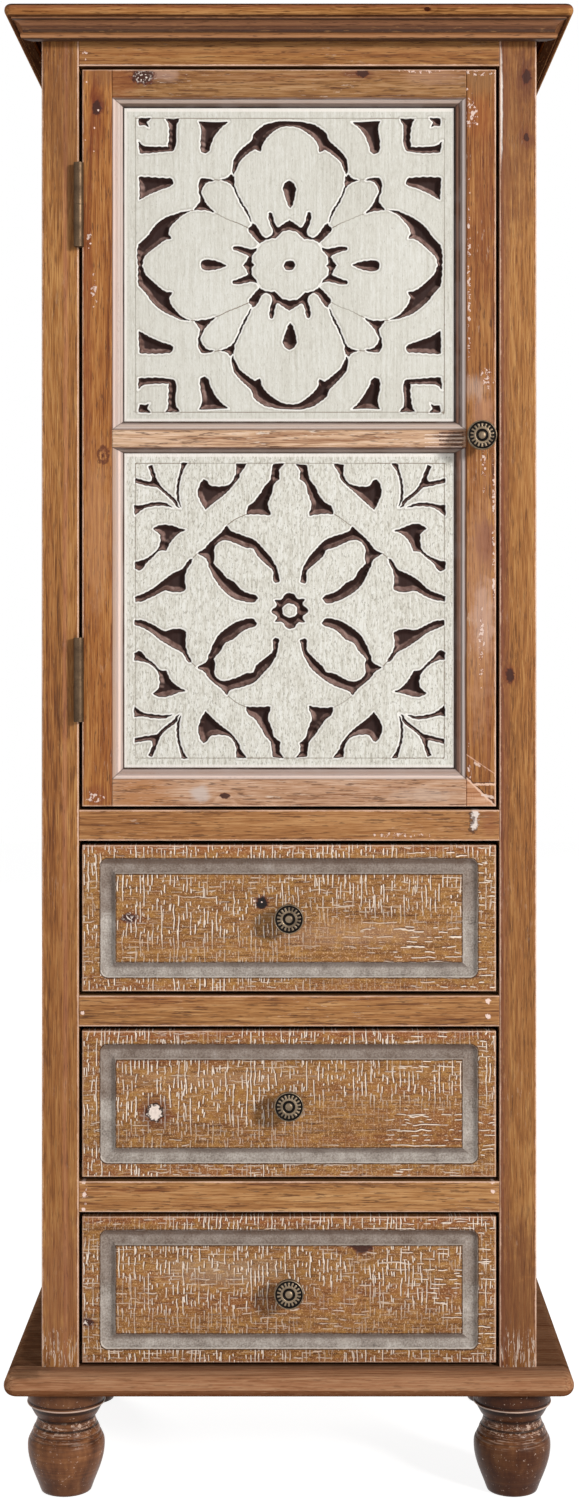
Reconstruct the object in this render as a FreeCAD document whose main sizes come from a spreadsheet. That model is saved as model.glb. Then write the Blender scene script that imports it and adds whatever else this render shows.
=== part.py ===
import FreeCAD
import Part
import Sketcher
import math
import os
from types import SimpleNamespace

from FreeCAD import Rotation, Vector

# Pantry cupboard: a framed case on four turned feet, with one inset panelled door over three drawers.
# Millimetres. X runs to the right, Y to the back, Z up. The origin is on the floor under the middle.
# The fronts of the posts, rails, door and drawers lie in one plane, the face of the case.

SIZES = {
    # Case
    "body_width": 440.0,
    "body_depth": 309.0,
    "post_width": 33.0,
    "post_depth": 33.0,
    "rail_height": 27.5,
    "rail_thickness": 20.0,
    "top_rail_height": 37.4,
    "door_opening_height": 661.3,
    "drawer_opening_height": 137.6,
    "edge_ease": 1.2,
    "side_rail_thickness": 20.0,
    "side_rail_height": 46.0,
    "side_panel_thickness": 10.0,
    "side_panel_recess": 7.0,
    "panel_groove_depth": 6.0,
    "back_thickness": 8.0,
    "back_rebate_width": 10.0,
    "deck_thickness": 15.0,
    # Base board
    "base_overhang": 31.0,
    "base_thickness": 18.0,
    "base_corner_radius": 12.0,
    "nose_share": 0.48,
    # Turned feet, from the top down
    "foot_height": 97.2,
    "foot_inset": 51.0,
    "foot_top_radius": 35.0,
    "foot_collar_height": 16.5,
    "foot_shoulder_radius": 31.2,
    "foot_shoulder_height": 68.5,
    "foot_neck_radius": 25.6,
    "foot_neck_height": 62.8,
    "foot_belly_radius": 34.4,
    "foot_belly_height": 41.0,
    "foot_sole_radius": 23.6,
    "foot_edge_height": 3.0,
    "foot_edge_inset": 2.6,
    "foot_edge_share": 1.1,
    "foot_dowel_radius": 6.0,
    "foot_dowel_in_foot": 24.0,
    "foot_dowel_in_base": 12.0,
    # Crown: a nosed board over a mitred cove moulding
    "crown_overhang": 30.0,
    "crown_board_thickness": 11.0,
    "crown_corner_radius": 7.0,
    "crown_step_inset": 9.5,
    "crown_step_height": 1.3,
    "moulding_gap": 7.4,
    "moulding_strip_width": 10.0,
    "moulding_bead_height": 6.3,
    "moulding_cove_inset": 2.6,
    "moulding_cove_radius": 9.2,
    "moulding_fillet_height": 2.1,
    "bead_round_share": 0.51,
    # Door
    "door_gap": 3.0,
    "door_thickness": 20.0,
    "stile_width": 26.5,
    "door_top_rail_height": 24.8,
    "door_bottom_rail_height": 24.1,
    "door_middle_rail_height": 15.4,
    "lower_field_share": 0.4995,
    "panel_setback": 8.0,
    "panel_thickness": 10.0,
    "bead_side_width": 10.5,
    "upper_bead_top_width": 8.0,
    "upper_bead_bottom_width": 8.3,
    "lower_bead_top_width": 4.8,
    "lower_bead_bottom_width": 10.1,
    "bead_edge_thickness": 1.6,
    # Hinges
    "hinge_height": 74.6,
    "upper_hinge_set_down": 84.0,
    "lower_hinge_set_up": 75.5,
    "barrel_shift": 1.0,
    "barrel_radius": 4.5,
    "barrel_stand_off": 0.5,
    "leaf_neck_share": 0.6,
    "hinge_pin_radius": 2.0,
    "hinge_pin_clearance": 0.05,
    "leaf_thickness": 1.4,
    "leaf_depth": 17.0,
    "leaf_setback": 0.4,
    "leaf_screw_setback": 10.0,
    "leaf_screw_spread": 50.0,
    "screw_radius": 1.5,
    "screw_head_radius": 3.0,
    "screw_length": 13.0,
    "slip_clearance": 0.3,
    # Door catch
    "catch_rise_share": 0.83,
    "catch_height": 42.0,
    "catch_width": 14.0,
    "catch_plate_height": 30.0,
    "catch_plate_width": 10.0,
    "catch_plate_thickness": 1.2,
    # Knobs
    "knob_projection": 22.0,
    "knob_radius": 13.2,
    "knob_head_thickness": 7.5,
    "knob_neck_radius": 5.0,
    "knob_foot_radius": 8.0,
    "knob_foot_thickness": 2.0,
    "knob_dish_radius": 9.6,
    "knob_dish_depth": 1.2,
    "knob_button_radius": 3.2,
    "knob_button_rise": 1.6,
    "knob_button_flat_radius": 1.0,
    "knob_rim_round": 1.8,
    "knob_underside_share": 1.2,
    "knob_button_share": 1.9,
    "knob_stud_radius": 2.0,
    "knob_stud_spare": 6.0,
    "knob_hole_clearance": 0.2,
    "knob_nut_radius": 4.4,
    "knob_nut_thickness": 3.2,
    "knob_thread_clearance": 0.05,
    "knob_neck_share": 0.333,
    "door_knob_rise_share": 0.5013,
    "door_knob_inset": 14.0,
    "drawer_knob_lift": 1.8,
    # Drawers
    "drawer_gap": 3.8,
    "drawer_front_thickness": 18.0,
    "drawer_side_thickness": 11.0,
    "drawer_side_clearance": 1.0,
    "drawer_side_drop": 16.0,
    "drawer_rear_clearance": 12.0,
    "drawer_bottom_thickness": 5.0,
    "drawer_bottom_rise": 8.0,
    "drawer_bottom_groove": 5.0,
    "front_groove_width": 13.0,
    "front_groove_depth": 4.5,
    "front_groove_side_margin": 16.5,
    "front_groove_top_margin": 12.4,
    # Drawer bearers and guides
    "bearer_height": 14.0,
    "bearer_width": 22.0,
    "guide_height": 12.0,
    "guide_clearance": 0.5,
    # Shelf
    "shelf_thickness": 16.0,
    "shelf_rise_share": 0.48,
    "shelf_clearance": 1.0,
    "shelf_front_setback": 8.0,
    "shelf_pin_radius": 2.5,
    "shelf_pin_depth": 10.0,
    "shelf_pin_reach": 9.0,
    # Radius of a quarter-round arc over the size of its corner: just over 1, so that it has one solution
    "quarter_round_share": 1.02,
    # Extra length of a cutting shape past the surface that it opens
    "overrun": 2.0,
}


class Size:
    """A length with its value and the formula, over the sheet's cells, that it follows."""

    def __init__(self, value, formula):
        self.value = float(value)
        self.formula = formula

    def __add__(self, other):
        other = as_size(other)
        return Size(self.value + other.value, f"({self.formula} + {other.formula})")

    def __sub__(self, other):
        other = as_size(other)
        return Size(self.value - other.value, f"({self.formula} - {other.formula})")

    def __mul__(self, other):
        other = as_size(other)
        return Size(self.value * other.value, f"({self.formula} * {other.formula})")

    def __truediv__(self, other):
        other = as_size(other)
        return Size(self.value / other.value, f"({self.formula} / {other.formula})")

    def __neg__(self):
        return Size(-self.value, f"(0 - {self.formula})")

    __radd__ = __add__
    __rmul__ = __mul__


def as_size(number):
    """Return number as a Size."""
    return number if isinstance(number, Size) else Size(number, str(number))


ZERO = as_size(0)

doc = FreeCAD.newDocument("pantry_cupboard")
sheet = doc.addObject("Spreadsheet::Sheet", "sizes")
for row, (cell_name, cell_value) in enumerate(SIZES.items(), start=1):
    sheet.set(f"A{row}", cell_name)
    sheet.set(f"B{row}", str(cell_value))
    sheet.setAlias(f"B{row}", cell_name)
doc.recompute()
s = SimpleNamespace(**{name: Size(value, f"sizes.{name}") for name, value in SIZES.items()})

nodes = {}


def keep(name, piece):
    """Register piece as the sub-part called name."""
    piece.Label = name
    nodes[name] = piece
    return piece


def bind(piece, **sizes):
    """Tie each named property of piece to its size."""
    for prop, size in sizes.items():
        piece.setExpression(prop, as_size(size).formula)


def place(piece, x, y, z, turn=None):
    """Turn piece and tie its place to three sizes."""
    if turn is not None:
        piece.Placement.Rotation = turn
    for axis, size in zip("xyz", (x, y, z)):
        piece.setExpression(f"Placement.Base.{axis}", as_size(size).formula)
    return piece


def axes(x_to, y_to):
    """Return the rotation that carries the local X and Y axes to the two given directions."""
    return Rotation(Vector(*x_to), Vector(*y_to), Vector(*x_to).cross(Vector(*y_to)), "XYZ")


UPRIGHT = axes((1, 0, 0), (0, 0, 1))
OUTWARD = axes((-1, 0, 0), (0, -1, 0))
ALONG_X = Rotation(Vector(0, 1, 0), 90)
ALONG_Y = Rotation(Vector(1, 0, 0), -90)


def block(name, x, y, z):
    """Return a squared block between two places on each axis."""
    box = doc.addObject("Part::Box", name)
    bind(box, Length=as_size(x[1]) - x[0], Width=as_size(y[1]) - y[0], Height=as_size(z[1]) - z[0])
    return place(box, x[0], y[0], z[0])


def rod(name, at, radius, length, turn=None):
    """Return a cylinder that starts at a place and runs along its turned local Z axis."""
    cylinder = doc.addObject("Part::Cylinder", name)
    bind(cylinder, Radius=radius, Height=length)
    return place(cylinder, *at, turn=turn)


def cone(name, at, start_radius, end_radius, length, turn=None):
    """Return a cone frustum that starts at a place and runs along its turned local Z axis."""
    frustum = doc.addObject("Part::Cone", name)
    bind(frustum, Radius1=start_radius, Radius2=end_radius, Height=length)
    return place(frustum, *at, turn=turn)


def fuse(name, pieces):
    """Return the pieces joined into one solid."""
    joined = doc.addObject("Part::MultiFuse", name)
    joined.Shapes = pieces
    return joined


def group(name, pieces):
    """Return the pieces side by side as separate solids."""
    gathered = doc.addObject("Part::Compound", name)
    gathered.Links = pieces
    return gathered


def cut(name, base, tools):
    """Return base with every tool taken out of it."""
    carved = doc.addObject("Part::Cut", name)
    carved.Base = base
    carved.Tool = tools[0] if len(tools) == 1 else fuse(f"{name}_tools", tools)
    return carved


def arc_middle(start, end, radius):
    """Return the middle of the short arc from start to end; a positive radius bulges to the right."""
    chord = end - start
    half = chord.Length / 2
    rise = abs(radius) - math.sqrt(max(radius * radius - half * half, 0))
    across = Vector(chord.y, -chord.x, 0).normalize()
    return (start + end) / 2 + across * (rise if radius > 0 else -rise)


def draw(body, name, outline):
    """Draw a closed outline on body's XY plane; a third value makes the stretch to its point an arc."""
    sketch = body.newObject("Sketcher::SketchObject", name)
    plane = [feature for feature in body.Origin.OriginFeatures if feature.Role == "XY_Plane"][0]
    sketch.AttachmentSupport = [(plane, "")]
    sketch.MapMode = "FlatFace"
    points = [tuple(as_size(value) for value in point) for point in outline]
    first_ends = []
    last_ends = []
    for index, point in enumerate(points):
        following = points[(index + 1) % len(points)]
        start = Vector(point[0].value, point[1].value, 0)
        end = Vector(following[0].value, following[1].value, 0)
        if len(following) == 3:
            stretch = Part.Arc(start, arc_middle(start, end, following[2].value), end)
        else:
            stretch = Part.LineSegment(start, end)
        sketch.addGeometry(stretch, False)
        kept_way = (sketch.getPoint(index, 1) - start).Length < (sketch.getPoint(index, 2) - start).Length
        first_ends.append((index, 1 if kept_way else 2))
        last_ends.append((index, 2 if kept_way else 1))
    for index, point in enumerate(points):
        sketch.addConstraint(Sketcher.Constraint("Coincident", *last_ends[index - 1], *first_ends[index]))
        for kind, axis, size in (("DistanceX", -2, point[0]), ("DistanceY", -1, point[1])):
            if size.value == 0:
                sketch.addConstraint(Sketcher.Constraint("PointOnObject", *first_ends[index], axis))
                continue
            number = sketch.addConstraint(
                Sketcher.Constraint(kind, -1, 1, *first_ends[index], size.value)
            )
            sketch.setExpression(f"Constraints[{number}]", size.formula)
        if len(point) == 3:
            radius = point[2] if point[2].value > 0 else -point[2]
            stretch_index = (index - 1) % len(points)
            number = sketch.addConstraint(Sketcher.Constraint("Radius", stretch_index, radius.value))
            sketch.setExpression(f"Constraints[{number}]", radius.formula)
    return sketch


def prism(name, outline, length):
    """Return a body: the outline on the XY plane, raised by length."""
    body = doc.addObject("PartDesign::Body", name)
    pad = body.newObject("PartDesign::Pad", f"{name}_pad")
    pad.Profile = draw(body, f"{name}_outline", outline)
    bind(pad, Length=length)
    body.Tip = pad
    return body


def turned(name, outline):
    """Return a body: the outline on the XY plane, turned round the Y axis."""
    body = doc.addObject("PartDesign::Body", name)
    sketch = draw(body, f"{name}_outline", outline)
    revolution = body.newObject("PartDesign::Revolution", f"{name}_turning")
    revolution.Profile = sketch
    revolution.ReferenceAxis = (sketch, ["V_Axis"])
    body.Tip = revolution
    return body


def ease(body, radius, wanted):
    """Round the edges of body that wanted picks by their bounding boxes."""
    doc.recompute()
    below = body.Tip
    edges = enumerate(below.Shape.Edges, start=1)
    picked = [f"Edge{number}" for number, edge in edges if wanted(edge.BoundBox)]
    fillet = body.newObject("PartDesign::Fillet", f"{below.Name}_eased")
    fillet.Base = (below, picked)
    bind(fillet, Radius=radius)
    body.Tip = fillet
    return body


def same(first, second):
    """Say whether two coordinates are the same within a rounding error."""
    return math.isclose(first, second, abs_tol=1e-6)


def oblong(width, depth):
    """Return a rectangle's outline with one corner at the origin."""
    return [(0, 0), (width, 0), (width, depth), (0, depth)]


def board(name, x, y, z):
    """Return a board with its front face's four edges eased."""
    width = as_size(x[1]) - x[0]
    body = prism(name, oblong(width, as_size(y[1]) - y[0]), as_size(z[1]) - z[0])
    place(body, x[0], y[0], z[0])
    return ease(body, s.edge_ease, lambda box: same(box.YMax, 0))


# Places that more than one piece shares
half_body = s.body_width / 2
base_front = -(s.body_depth + s.base_overhang) / 2
face = base_front + s.base_overhang
rear = face + s.body_depth
half_opening = half_body - s.post_width
rail_back = face + s.rail_thickness
post_back = face + s.post_depth
rear_post_front = rear - s.post_depth
back_front = rear - s.back_thickness
base_top = s.foot_height + s.base_thickness
rail_step = s.drawer_opening_height + s.rail_height
drawer_floors = [base_top + rail_step * 2, base_top + rail_step, base_top]
deck_top = base_top + rail_step * 3
door_opening_top = deck_top + s.door_opening_height
body_top = door_opening_top + s.top_rail_height
SIDES = {"left": -1, "right": 1}


def span(side, inner, outer):
    """Return the places from inner to outer on one side of the middle, lowest first."""
    if side < 0:
        return (-as_size(outer), -as_size(inner))
    return (as_size(inner), as_size(outer))


def make_feet():
    """Make the four turned feet and the dowels that hold them."""
    belly_run = s.foot_belly_radius - s.foot_sole_radius
    belly_drop = s.foot_belly_height - s.foot_edge_height
    lower_radius = (belly_run * belly_run + belly_drop * belly_drop) / (belly_run * 2)
    neck_run = s.foot_belly_radius - s.foot_neck_radius
    neck_rise = s.foot_neck_height - s.foot_belly_height
    upper_radius = (neck_run * neck_run + neck_rise * neck_rise) / (neck_run * 2)
    collar_bottom = s.foot_height - s.foot_collar_height
    outline = [
        (0, 0),
        (s.foot_sole_radius - s.foot_edge_inset, 0),
        (s.foot_sole_radius, s.foot_edge_height, s.foot_edge_height * s.foot_edge_share),
        (s.foot_belly_radius, s.foot_belly_height, lower_radius),
        (s.foot_neck_radius, s.foot_neck_height, upper_radius),
        (s.foot_shoulder_radius, s.foot_shoulder_height, -(s.foot_shoulder_height - s.foot_neck_height)),
        (s.foot_top_radius, collar_bottom, -(collar_bottom - s.foot_shoulder_height)),
        (s.foot_top_radius, s.foot_height),
        (0, s.foot_height),
    ]
    half_x = half_body + s.base_overhang - s.foot_inset
    front_y = base_front + s.foot_inset
    dowels = []
    for end, y in (("front", front_y), ("rear", rear - s.foot_inset)):
        for side_name, side in SIDES.items():
            x = half_x * side
            foot = place(turned(f"foot_{end}_{side_name}_turned", outline), x, y, 0, UPRIGHT)
            start = (x, y, s.foot_height - s.foot_dowel_in_foot)
            length = s.foot_dowel_in_foot + s.foot_dowel_in_base
            hole = rod(f"foot_{end}_{side_name}_hole", start, s.foot_dowel_radius, length)
            keep(f"foot_{end}_{side_name}", cut(f"foot_{end}_{side_name}", foot, [hole]))
            dowels.append(rod(f"foot_dowel_{end}_{side_name}", start, s.foot_dowel_radius, length))
    keep("foot_dowels", group("foot_dowels", dowels))
    return dowels


def nosed_board(name, overhang, thickness, corner_radius, bottom):
    """Return a board round the case with its front and side edges rounded right over."""
    width = s.body_width + overhang * 2
    depth = s.body_depth + overhang
    body = prism(name, oblong(width, depth), thickness)
    place(body, -width / 2, rear - depth, bottom)
    ease(body, corner_radius, lambda box: same(box.YMax, 0) and same(box.XLength, 0))

    def on_nose(box):
        level = same(box.ZLength, 0)
        at_back = same(box.YMin, depth.value) and same(box.YMax, depth.value)
        return level and not at_back

    return ease(body, thickness * s.nose_share, on_nose)


def make_base(dowels):
    """Make the base board, drilled for the dowels of the feet."""
    base = nosed_board("base_nosed", s.base_overhang, s.base_thickness, s.base_corner_radius, s.foot_height)
    keep("base_board", cut("base_board", base, dowels))


def make_posts(screw_holes):
    """Make the four corner posts, grooved for the side panels and rebated for the back."""
    groove_start = s.side_panel_recess
    groove_end = groove_start + s.side_panel_thickness
    # From the outer face at 0 to the inner face at the post's width
    front = [
        (0, 0),
        (s.post_width, 0),
        (s.post_width, s.post_depth),
        (groove_end, s.post_depth),
        (groove_end, s.post_depth - s.panel_groove_depth),
        (groove_start, s.post_depth - s.panel_groove_depth),
        (groove_start, s.post_depth),
        (0, s.post_depth),
    ]
    rebate = s.post_width - s.back_rebate_width
    back = [
        (0, 0),
        (groove_start, 0),
        (groove_start, s.panel_groove_depth),
        (groove_end, s.panel_groove_depth),
        (groove_end, 0),
        (s.post_width, 0),
        (s.post_width, s.post_depth - s.back_thickness),
        (rebate, s.post_depth - s.back_thickness),
        (rebate, s.post_depth),
        (0, s.post_depth),
    ]
    height = body_top - base_top
    for side_name, side in SIDES.items():
        x = span(side, half_opening, half_body)[0]
        for end, outline, y in (("front", front, face), ("rear", back, rear_post_front)):
            if side > 0:
                outline = [(s.post_width - point[0], point[1]) for point in outline]
            name = f"post_{end}_{side_name}"
            post = place(prism(f"{name}_shaft", outline, height), x, y, base_top)
            corner_y = 0 if end == "front" else s.post_depth.value

            def on_corner(box):
                return same(box.XLength, 0) and same(box.YMin, corner_y) and same(box.YMax, corner_y)

            ease(post, s.edge_ease, on_corner)
            holes = screw_holes[name]
            keep(name, cut(name, post, holes) if holes else post)


def make_front_rails():
    """Make the rails that frame the door and the drawers."""
    across = (-half_opening, half_opening)
    deep = (face, rail_back)
    levels = {
        "rail_lower": (drawer_floors[1] - s.rail_height, drawer_floors[1]),
        "rail_middle": (drawer_floors[0] - s.rail_height, drawer_floors[0]),
        "rail_below_door": (deck_top - s.rail_height, deck_top),
        "rail_top": (door_opening_top, body_top),
    }
    for name, level in levels.items():
        keep(name, board(name, across, deep, level))


def make_sides():
    """Make the rails and the panels of both sides, and the back panel."""
    middle_bottom = deck_top - s.deck_thickness - (s.side_rail_height - s.deck_thickness) / 2
    rails = [
        (base_top, base_top + s.side_rail_height, False, True),
        (middle_bottom, middle_bottom + s.side_rail_height, True, True),
        (body_top - s.side_rail_height, body_top, True, False),
    ]
    panel_inner = half_body - s.side_panel_recess - s.side_panel_thickness
    panel_outer = half_body - s.side_panel_recess
    groove = s.panel_groove_depth
    deep = (post_back, rear_post_front)
    for side_name, side in SIDES.items():
        solids = []
        for number, (low, high, groove_below, groove_above) in enumerate(rails, start=1):
            name = f"side_rail_{side_name}_{number}"
            rail = block(f"{name}_bar", span(side, half_body - s.side_rail_thickness, half_body),
                         deep, (low, high))
            across = span(side, panel_inner, panel_outer)
            slots = []
            if groove_below:
                slots.append(block(f"{name}_slot_below", across, deep, (low - s.overrun, low + groove)))
            if groove_above:
                slots.append(block(f"{name}_slot_above", across, deep, (high - groove, high + s.overrun)))
            solids.append(cut(name, rail, slots))
        keep(f"side_rails_{side_name}", group(f"side_rails_{side_name}", solids))
        panels = []
        for number in (0, 1):
            level = (rails[number][1] - groove, rails[number + 1][0] + groove)
            panels.append(block(f"side_panel_{side_name}_{number + 1}", span(side, panel_inner, panel_outer),
                                (post_back - groove, rear_post_front + groove), level))
        keep(f"side_panels_{side_name}", group(f"side_panels_{side_name}", panels))
    half_back = half_opening + s.back_rebate_width
    keep("back_panel", block("back_panel", (-half_back, half_back), (back_front, rear), (base_top, body_top)))


def make_deck():
    """Make the cupboard's floor, notched round the posts."""
    inner = half_body - s.side_rail_thickness
    deck = block("cupboard_floor_board", (-inner, inner), (rail_back, back_front),
                 (deck_top - s.deck_thickness, deck_top))
    level = (deck_top - s.deck_thickness - s.overrun, deck_top + s.overrun)
    notches = []
    for side_name, side in SIDES.items():
        across = span(side, half_opening, inner + s.overrun)
        notches.append(block(f"deck_notch_front_{side_name}", across,
                             (rail_back - s.overrun, post_back), level))
        notches.append(block(f"deck_notch_rear_{side_name}", across,
                             (rear_post_front, back_front + s.overrun), level))
    keep("cupboard_floor", cut("cupboard_floor", deck, notches))


def make_shelf(holes):
    """Make the shelf and its four pegs, and add each peg to the holes of its post."""
    bottom = deck_top + s.door_opening_height * s.shelf_rise_share
    half_shelf = half_opening - s.shelf_clearance
    keep("shelf", block("shelf", (-half_shelf, half_shelf),
                        (rail_back + s.shelf_front_setback, back_front - s.shelf_clearance),
                        (bottom, bottom + s.shelf_thickness)))
    pegs = []
    inset = s.shelf_pin_radius * 2
    for end, y in (("front", post_back - inset), ("rear", rear_post_front + inset)):
        for side_name, side in SIDES.items():
            start = span(side, half_opening - s.shelf_pin_reach, half_opening + s.shelf_pin_depth)[0]
            peg = rod(f"shelf_peg_{end}_{side_name}", (start, y, bottom - s.shelf_pin_radius),
                      s.shelf_pin_radius, s.shelf_pin_reach + s.shelf_pin_depth, ALONG_X)
            pegs.append(peg)
            holes[f"post_{end}_{side_name}"].append(peg)
    keep("shelf_pins", group("shelf_pins", pegs))


def mitre_cutter(name, width, height):
    """Return a block twice as long as it is wide, taller than the moulding that it cuts."""
    cutter = doc.addObject("Part::Box", name)
    bind(cutter, Length=width * 2, Width=width, Height=height + s.overrun * 2)
    return cutter


def make_crown():
    """Make the crown board and the three mitred lengths of moulding under it."""
    board_body = nosed_board("crown_nosed", s.crown_overhang, s.crown_board_thickness,
                             s.crown_corner_radius, body_top)
    reach = s.crown_overhang - s.crown_step_inset
    top = body_top + s.crown_board_thickness
    step = block("crown_step", (-(half_body + reach), half_body + reach), (face - reach, rear),
                 (top - s.crown_step_height, top + s.crown_step_height))
    keep("crown_board", fuse("crown_board", [board_body, step]))

    inner = s.moulding_gap
    bead_out = inner + s.moulding_strip_width
    bead_root = bead_out - s.moulding_bead_height / 2
    cove_start = bead_out - s.moulding_cove_inset
    cove_end = cove_start + s.moulding_cove_radius
    cove_top = s.moulding_bead_height + s.moulding_cove_radius
    height = cove_top + s.moulding_fillet_height
    outline = [
        (inner, 0),
        (bead_root, 0),
        (bead_root, s.moulding_bead_height, s.moulding_bead_height * s.bead_round_share),
        (cove_start, s.moulding_bead_height),
        (cove_end, cove_top, -s.moulding_cove_radius * s.quarter_round_share),
        (cove_end, height),
        (inner, height),
    ]
    bottom = body_top - height
    side_run = s.body_depth + cove_end
    front_run = s.body_width + cove_end * 2
    lengths = {
        "front": (prism("moulding_front", outline, front_run), axes((0, -1, 0), (0, 0, 1)),
                  half_body + cove_end, face),
        "left": (prism("moulding_left", outline, side_run), axes((-1, 0, 0), (0, 0, 1)),
                 -half_body, face - cove_end),
        "right": (prism("moulding_right", outline, side_run), axes((1, 0, 0), (0, 0, 1)),
                  half_body, rear),
    }
    # A mitre's plane goes through the case's corner, outward at 45 degrees. Each cutter is a block
    # with one face on that plane: behind it for the front length, in front of it for a side length.
    cutter_width = cove_end * 2
    across = cutter_width * math.sqrt(0.5)
    cutters = {"front": []}
    for side_name, side in SIDES.items():
        turn = Rotation(Vector(0, 0, 1), -45 * side)
        start = (half_body * side - across, face + across * side)
        cutters["front"].append(place(mitre_cutter(f"mitre_behind_{side_name}", cutter_width, height),
                                      *start, bottom - s.overrun, turn))
        cutters[side_name] = [place(mitre_cutter(f"mitre_before_{side_name}", cutter_width, height),
                                    start[0] - across * side, start[1] - across, bottom - s.overrun, turn)]
    for name, (body, turn, x, y) in lengths.items():
        place(body, x, y, bottom, turn)
        keep(f"crown_moulding_{name}", cut(f"crown_moulding_{name}", body, cutters[name]))


# Door places
half_door = half_opening - s.door_gap
door_bottom = deck_top + s.door_gap
door_top = door_opening_top - s.door_gap
door_height = door_top - door_bottom
door_back = face + s.door_thickness
half_field = half_door - s.stile_width
fields_height = (door_height - s.door_top_rail_height - s.door_middle_rail_height
                 - s.door_bottom_rail_height)
lower_field = (door_bottom + s.door_bottom_rail_height,
               door_bottom + s.door_bottom_rail_height + fields_height * s.lower_field_share)
upper_field = (lower_field[1] + s.door_middle_rail_height, door_top - s.door_top_rail_height)
hinge_x = -(half_opening - s.door_gap / 2) - s.barrel_shift
hinge_y = face - s.barrel_radius - s.barrel_stand_off
hinge_middles = {
    "upper": door_top - s.upper_hinge_set_down - s.hinge_height / 2,
    "lower": door_bottom + s.lower_hinge_set_up + s.hinge_height / 2,
}
knob_x = half_door - s.door_knob_inset
knob_z = door_bottom + door_height * s.door_knob_rise_share


def make_hinges():
    """Make both hinges; return the screw rods that enter the post and those that enter the stile."""
    leaves = {"frame": [], "door": []}
    heads = {"frame": [], "door": []}
    shanks = {"frame": [], "door": []}
    pins = []
    post_side = -half_opening
    leaf_x = {
        "frame": (post_side, post_side + s.leaf_thickness),
        "door": (-half_door - s.leaf_thickness, -half_door),
    }
    leaf_y = (face + s.leaf_setback, face + s.leaf_setback + s.leaf_depth)
    neck_y = (hinge_y + s.barrel_radius * s.leaf_neck_share, face + s.leaf_setback + s.leaf_thickness)
    half_gap = s.slip_clearance / 2
    for which, middle in hinge_middles.items():
        bottom = middle - s.hinge_height / 2
        top = middle + s.hinge_height / 2
        knuckles = {"frame": (bottom, middle - half_gap), "door": (middle + half_gap, top)}
        pins.append(rod(f"hinge_pin_{which}", (hinge_x, hinge_y, bottom), s.hinge_pin_radius, s.hinge_height))
        for owner, (low, high) in knuckles.items():
            name = f"hinge_{owner}_{which}"
            clearance = s.hinge_pin_clearance if owner == "door" else ZERO
            solid = fuse(f"{name}_solid", [
                block(f"{name}_leaf", leaf_x[owner], leaf_y, (bottom, top)),
                block(f"{name}_neck", leaf_x[owner], neck_y, (low, high)),
                rod(f"{name}_knuckle", (hinge_x, hinge_y, low), s.barrel_radius, high - low),
            ])
            bore = rod(f"{name}_bore", (hinge_x, hinge_y, low - s.overrun), s.hinge_pin_radius + clearance,
                       high - low + s.overrun * 2)
            screws = []
            for number, way in ((1, -1), (2, 1)):
                z = middle + s.leaf_screw_spread / 2 * way
                y = face + s.leaf_screw_setback
                turn = Rotation(Vector(0, 1, 0), -90) if owner == "frame" else ALONG_X
                x = leaf_x[owner][1] if owner == "frame" else leaf_x[owner][0]
                head = cone(f"{name}_head_{number}", (x, y, z), s.screw_head_radius, s.screw_radius,
                            s.leaf_thickness, turn)
                shank = rod(f"{name}_shank_{number}", (x, y, z), s.screw_radius, s.screw_length, turn)
                heads[owner].append(fuse(f"{name}_screw_{number}", [head, shank]))
                shanks[owner].append(shank)
                screws.extend([head, shank])
            leaves[owner].append(cut(name, solid, [bore] + screws))
    keep("hinge_leaves_frame", group("hinge_leaves_frame", leaves["frame"]))
    keep("hinge_leaves_door", group("hinge_leaves_door", leaves["door"]))
    keep("hinge_screws_frame", group("hinge_screws_frame", heads["frame"]))
    keep("hinge_screws_door", group("hinge_screws_door", heads["door"]))
    keep("hinge_pins", group("hinge_pins", pins))
    return shanks["frame"], shanks["door"]


def make_knob(name, x, z, wood):
    """Make a knob with its stud and nut through wood of the given thickness; return its hole."""
    root = wood + s.knob_stud_spare
    top = root + s.knob_projection
    head_bottom = top - s.knob_head_thickness
    rim = s.knob_rim_round
    foot_top = root + s.knob_foot_thickness
    dish = top - s.knob_dish_depth
    neck_run = head_bottom - foot_top
    outline = [
        (0, 0),
        (s.knob_stud_radius, 0),
        (s.knob_stud_radius, root),
        (s.knob_foot_radius, root),
        (s.knob_foot_radius, foot_top),
        (s.knob_neck_radius, foot_top + neck_run * s.knob_neck_share, -neck_run),
        (s.knob_radius - rim, head_bottom, -s.knob_radius * s.knob_underside_share),
        (s.knob_radius, head_bottom + rim, rim * s.quarter_round_share),
        (s.knob_radius, top - rim),
        (s.knob_radius - rim, top, rim * s.quarter_round_share),
        (s.knob_dish_radius, top),
        (s.knob_dish_radius - s.knob_dish_depth, dish),
        (s.knob_button_radius, dish),
        (s.knob_button_flat_radius, dish + s.knob_button_rise, s.knob_button_radius * s.knob_button_share),
        (0, dish + s.knob_button_rise),
    ]
    body = place(turned(f"{name}_turned", outline), x, face + root, z, OUTWARD)
    hexagon = doc.addObject("Part::Prism", f"{name}_nut_blank")
    hexagon.Polygon = 6
    bind(hexagon, Circumradius=s.knob_nut_radius, Height=s.knob_nut_thickness)
    place(hexagon, x, face + wood, z, ALONG_Y)
    thread = rod(f"{name}_nut_thread", (x, face + wood - s.overrun, z),
                 s.knob_stud_radius + s.knob_thread_clearance, s.knob_nut_thickness + s.overrun * 2, ALONG_Y)
    nut = cut(f"{name}_nut", hexagon, [thread])
    keep(name, group(name, [body, nut]))
    return rod(f"{name}_hole", (x, face - s.overrun, z), s.knob_stud_radius + s.knob_hole_clearance,
               wood + s.overrun * 2, ALONG_Y)


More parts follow.
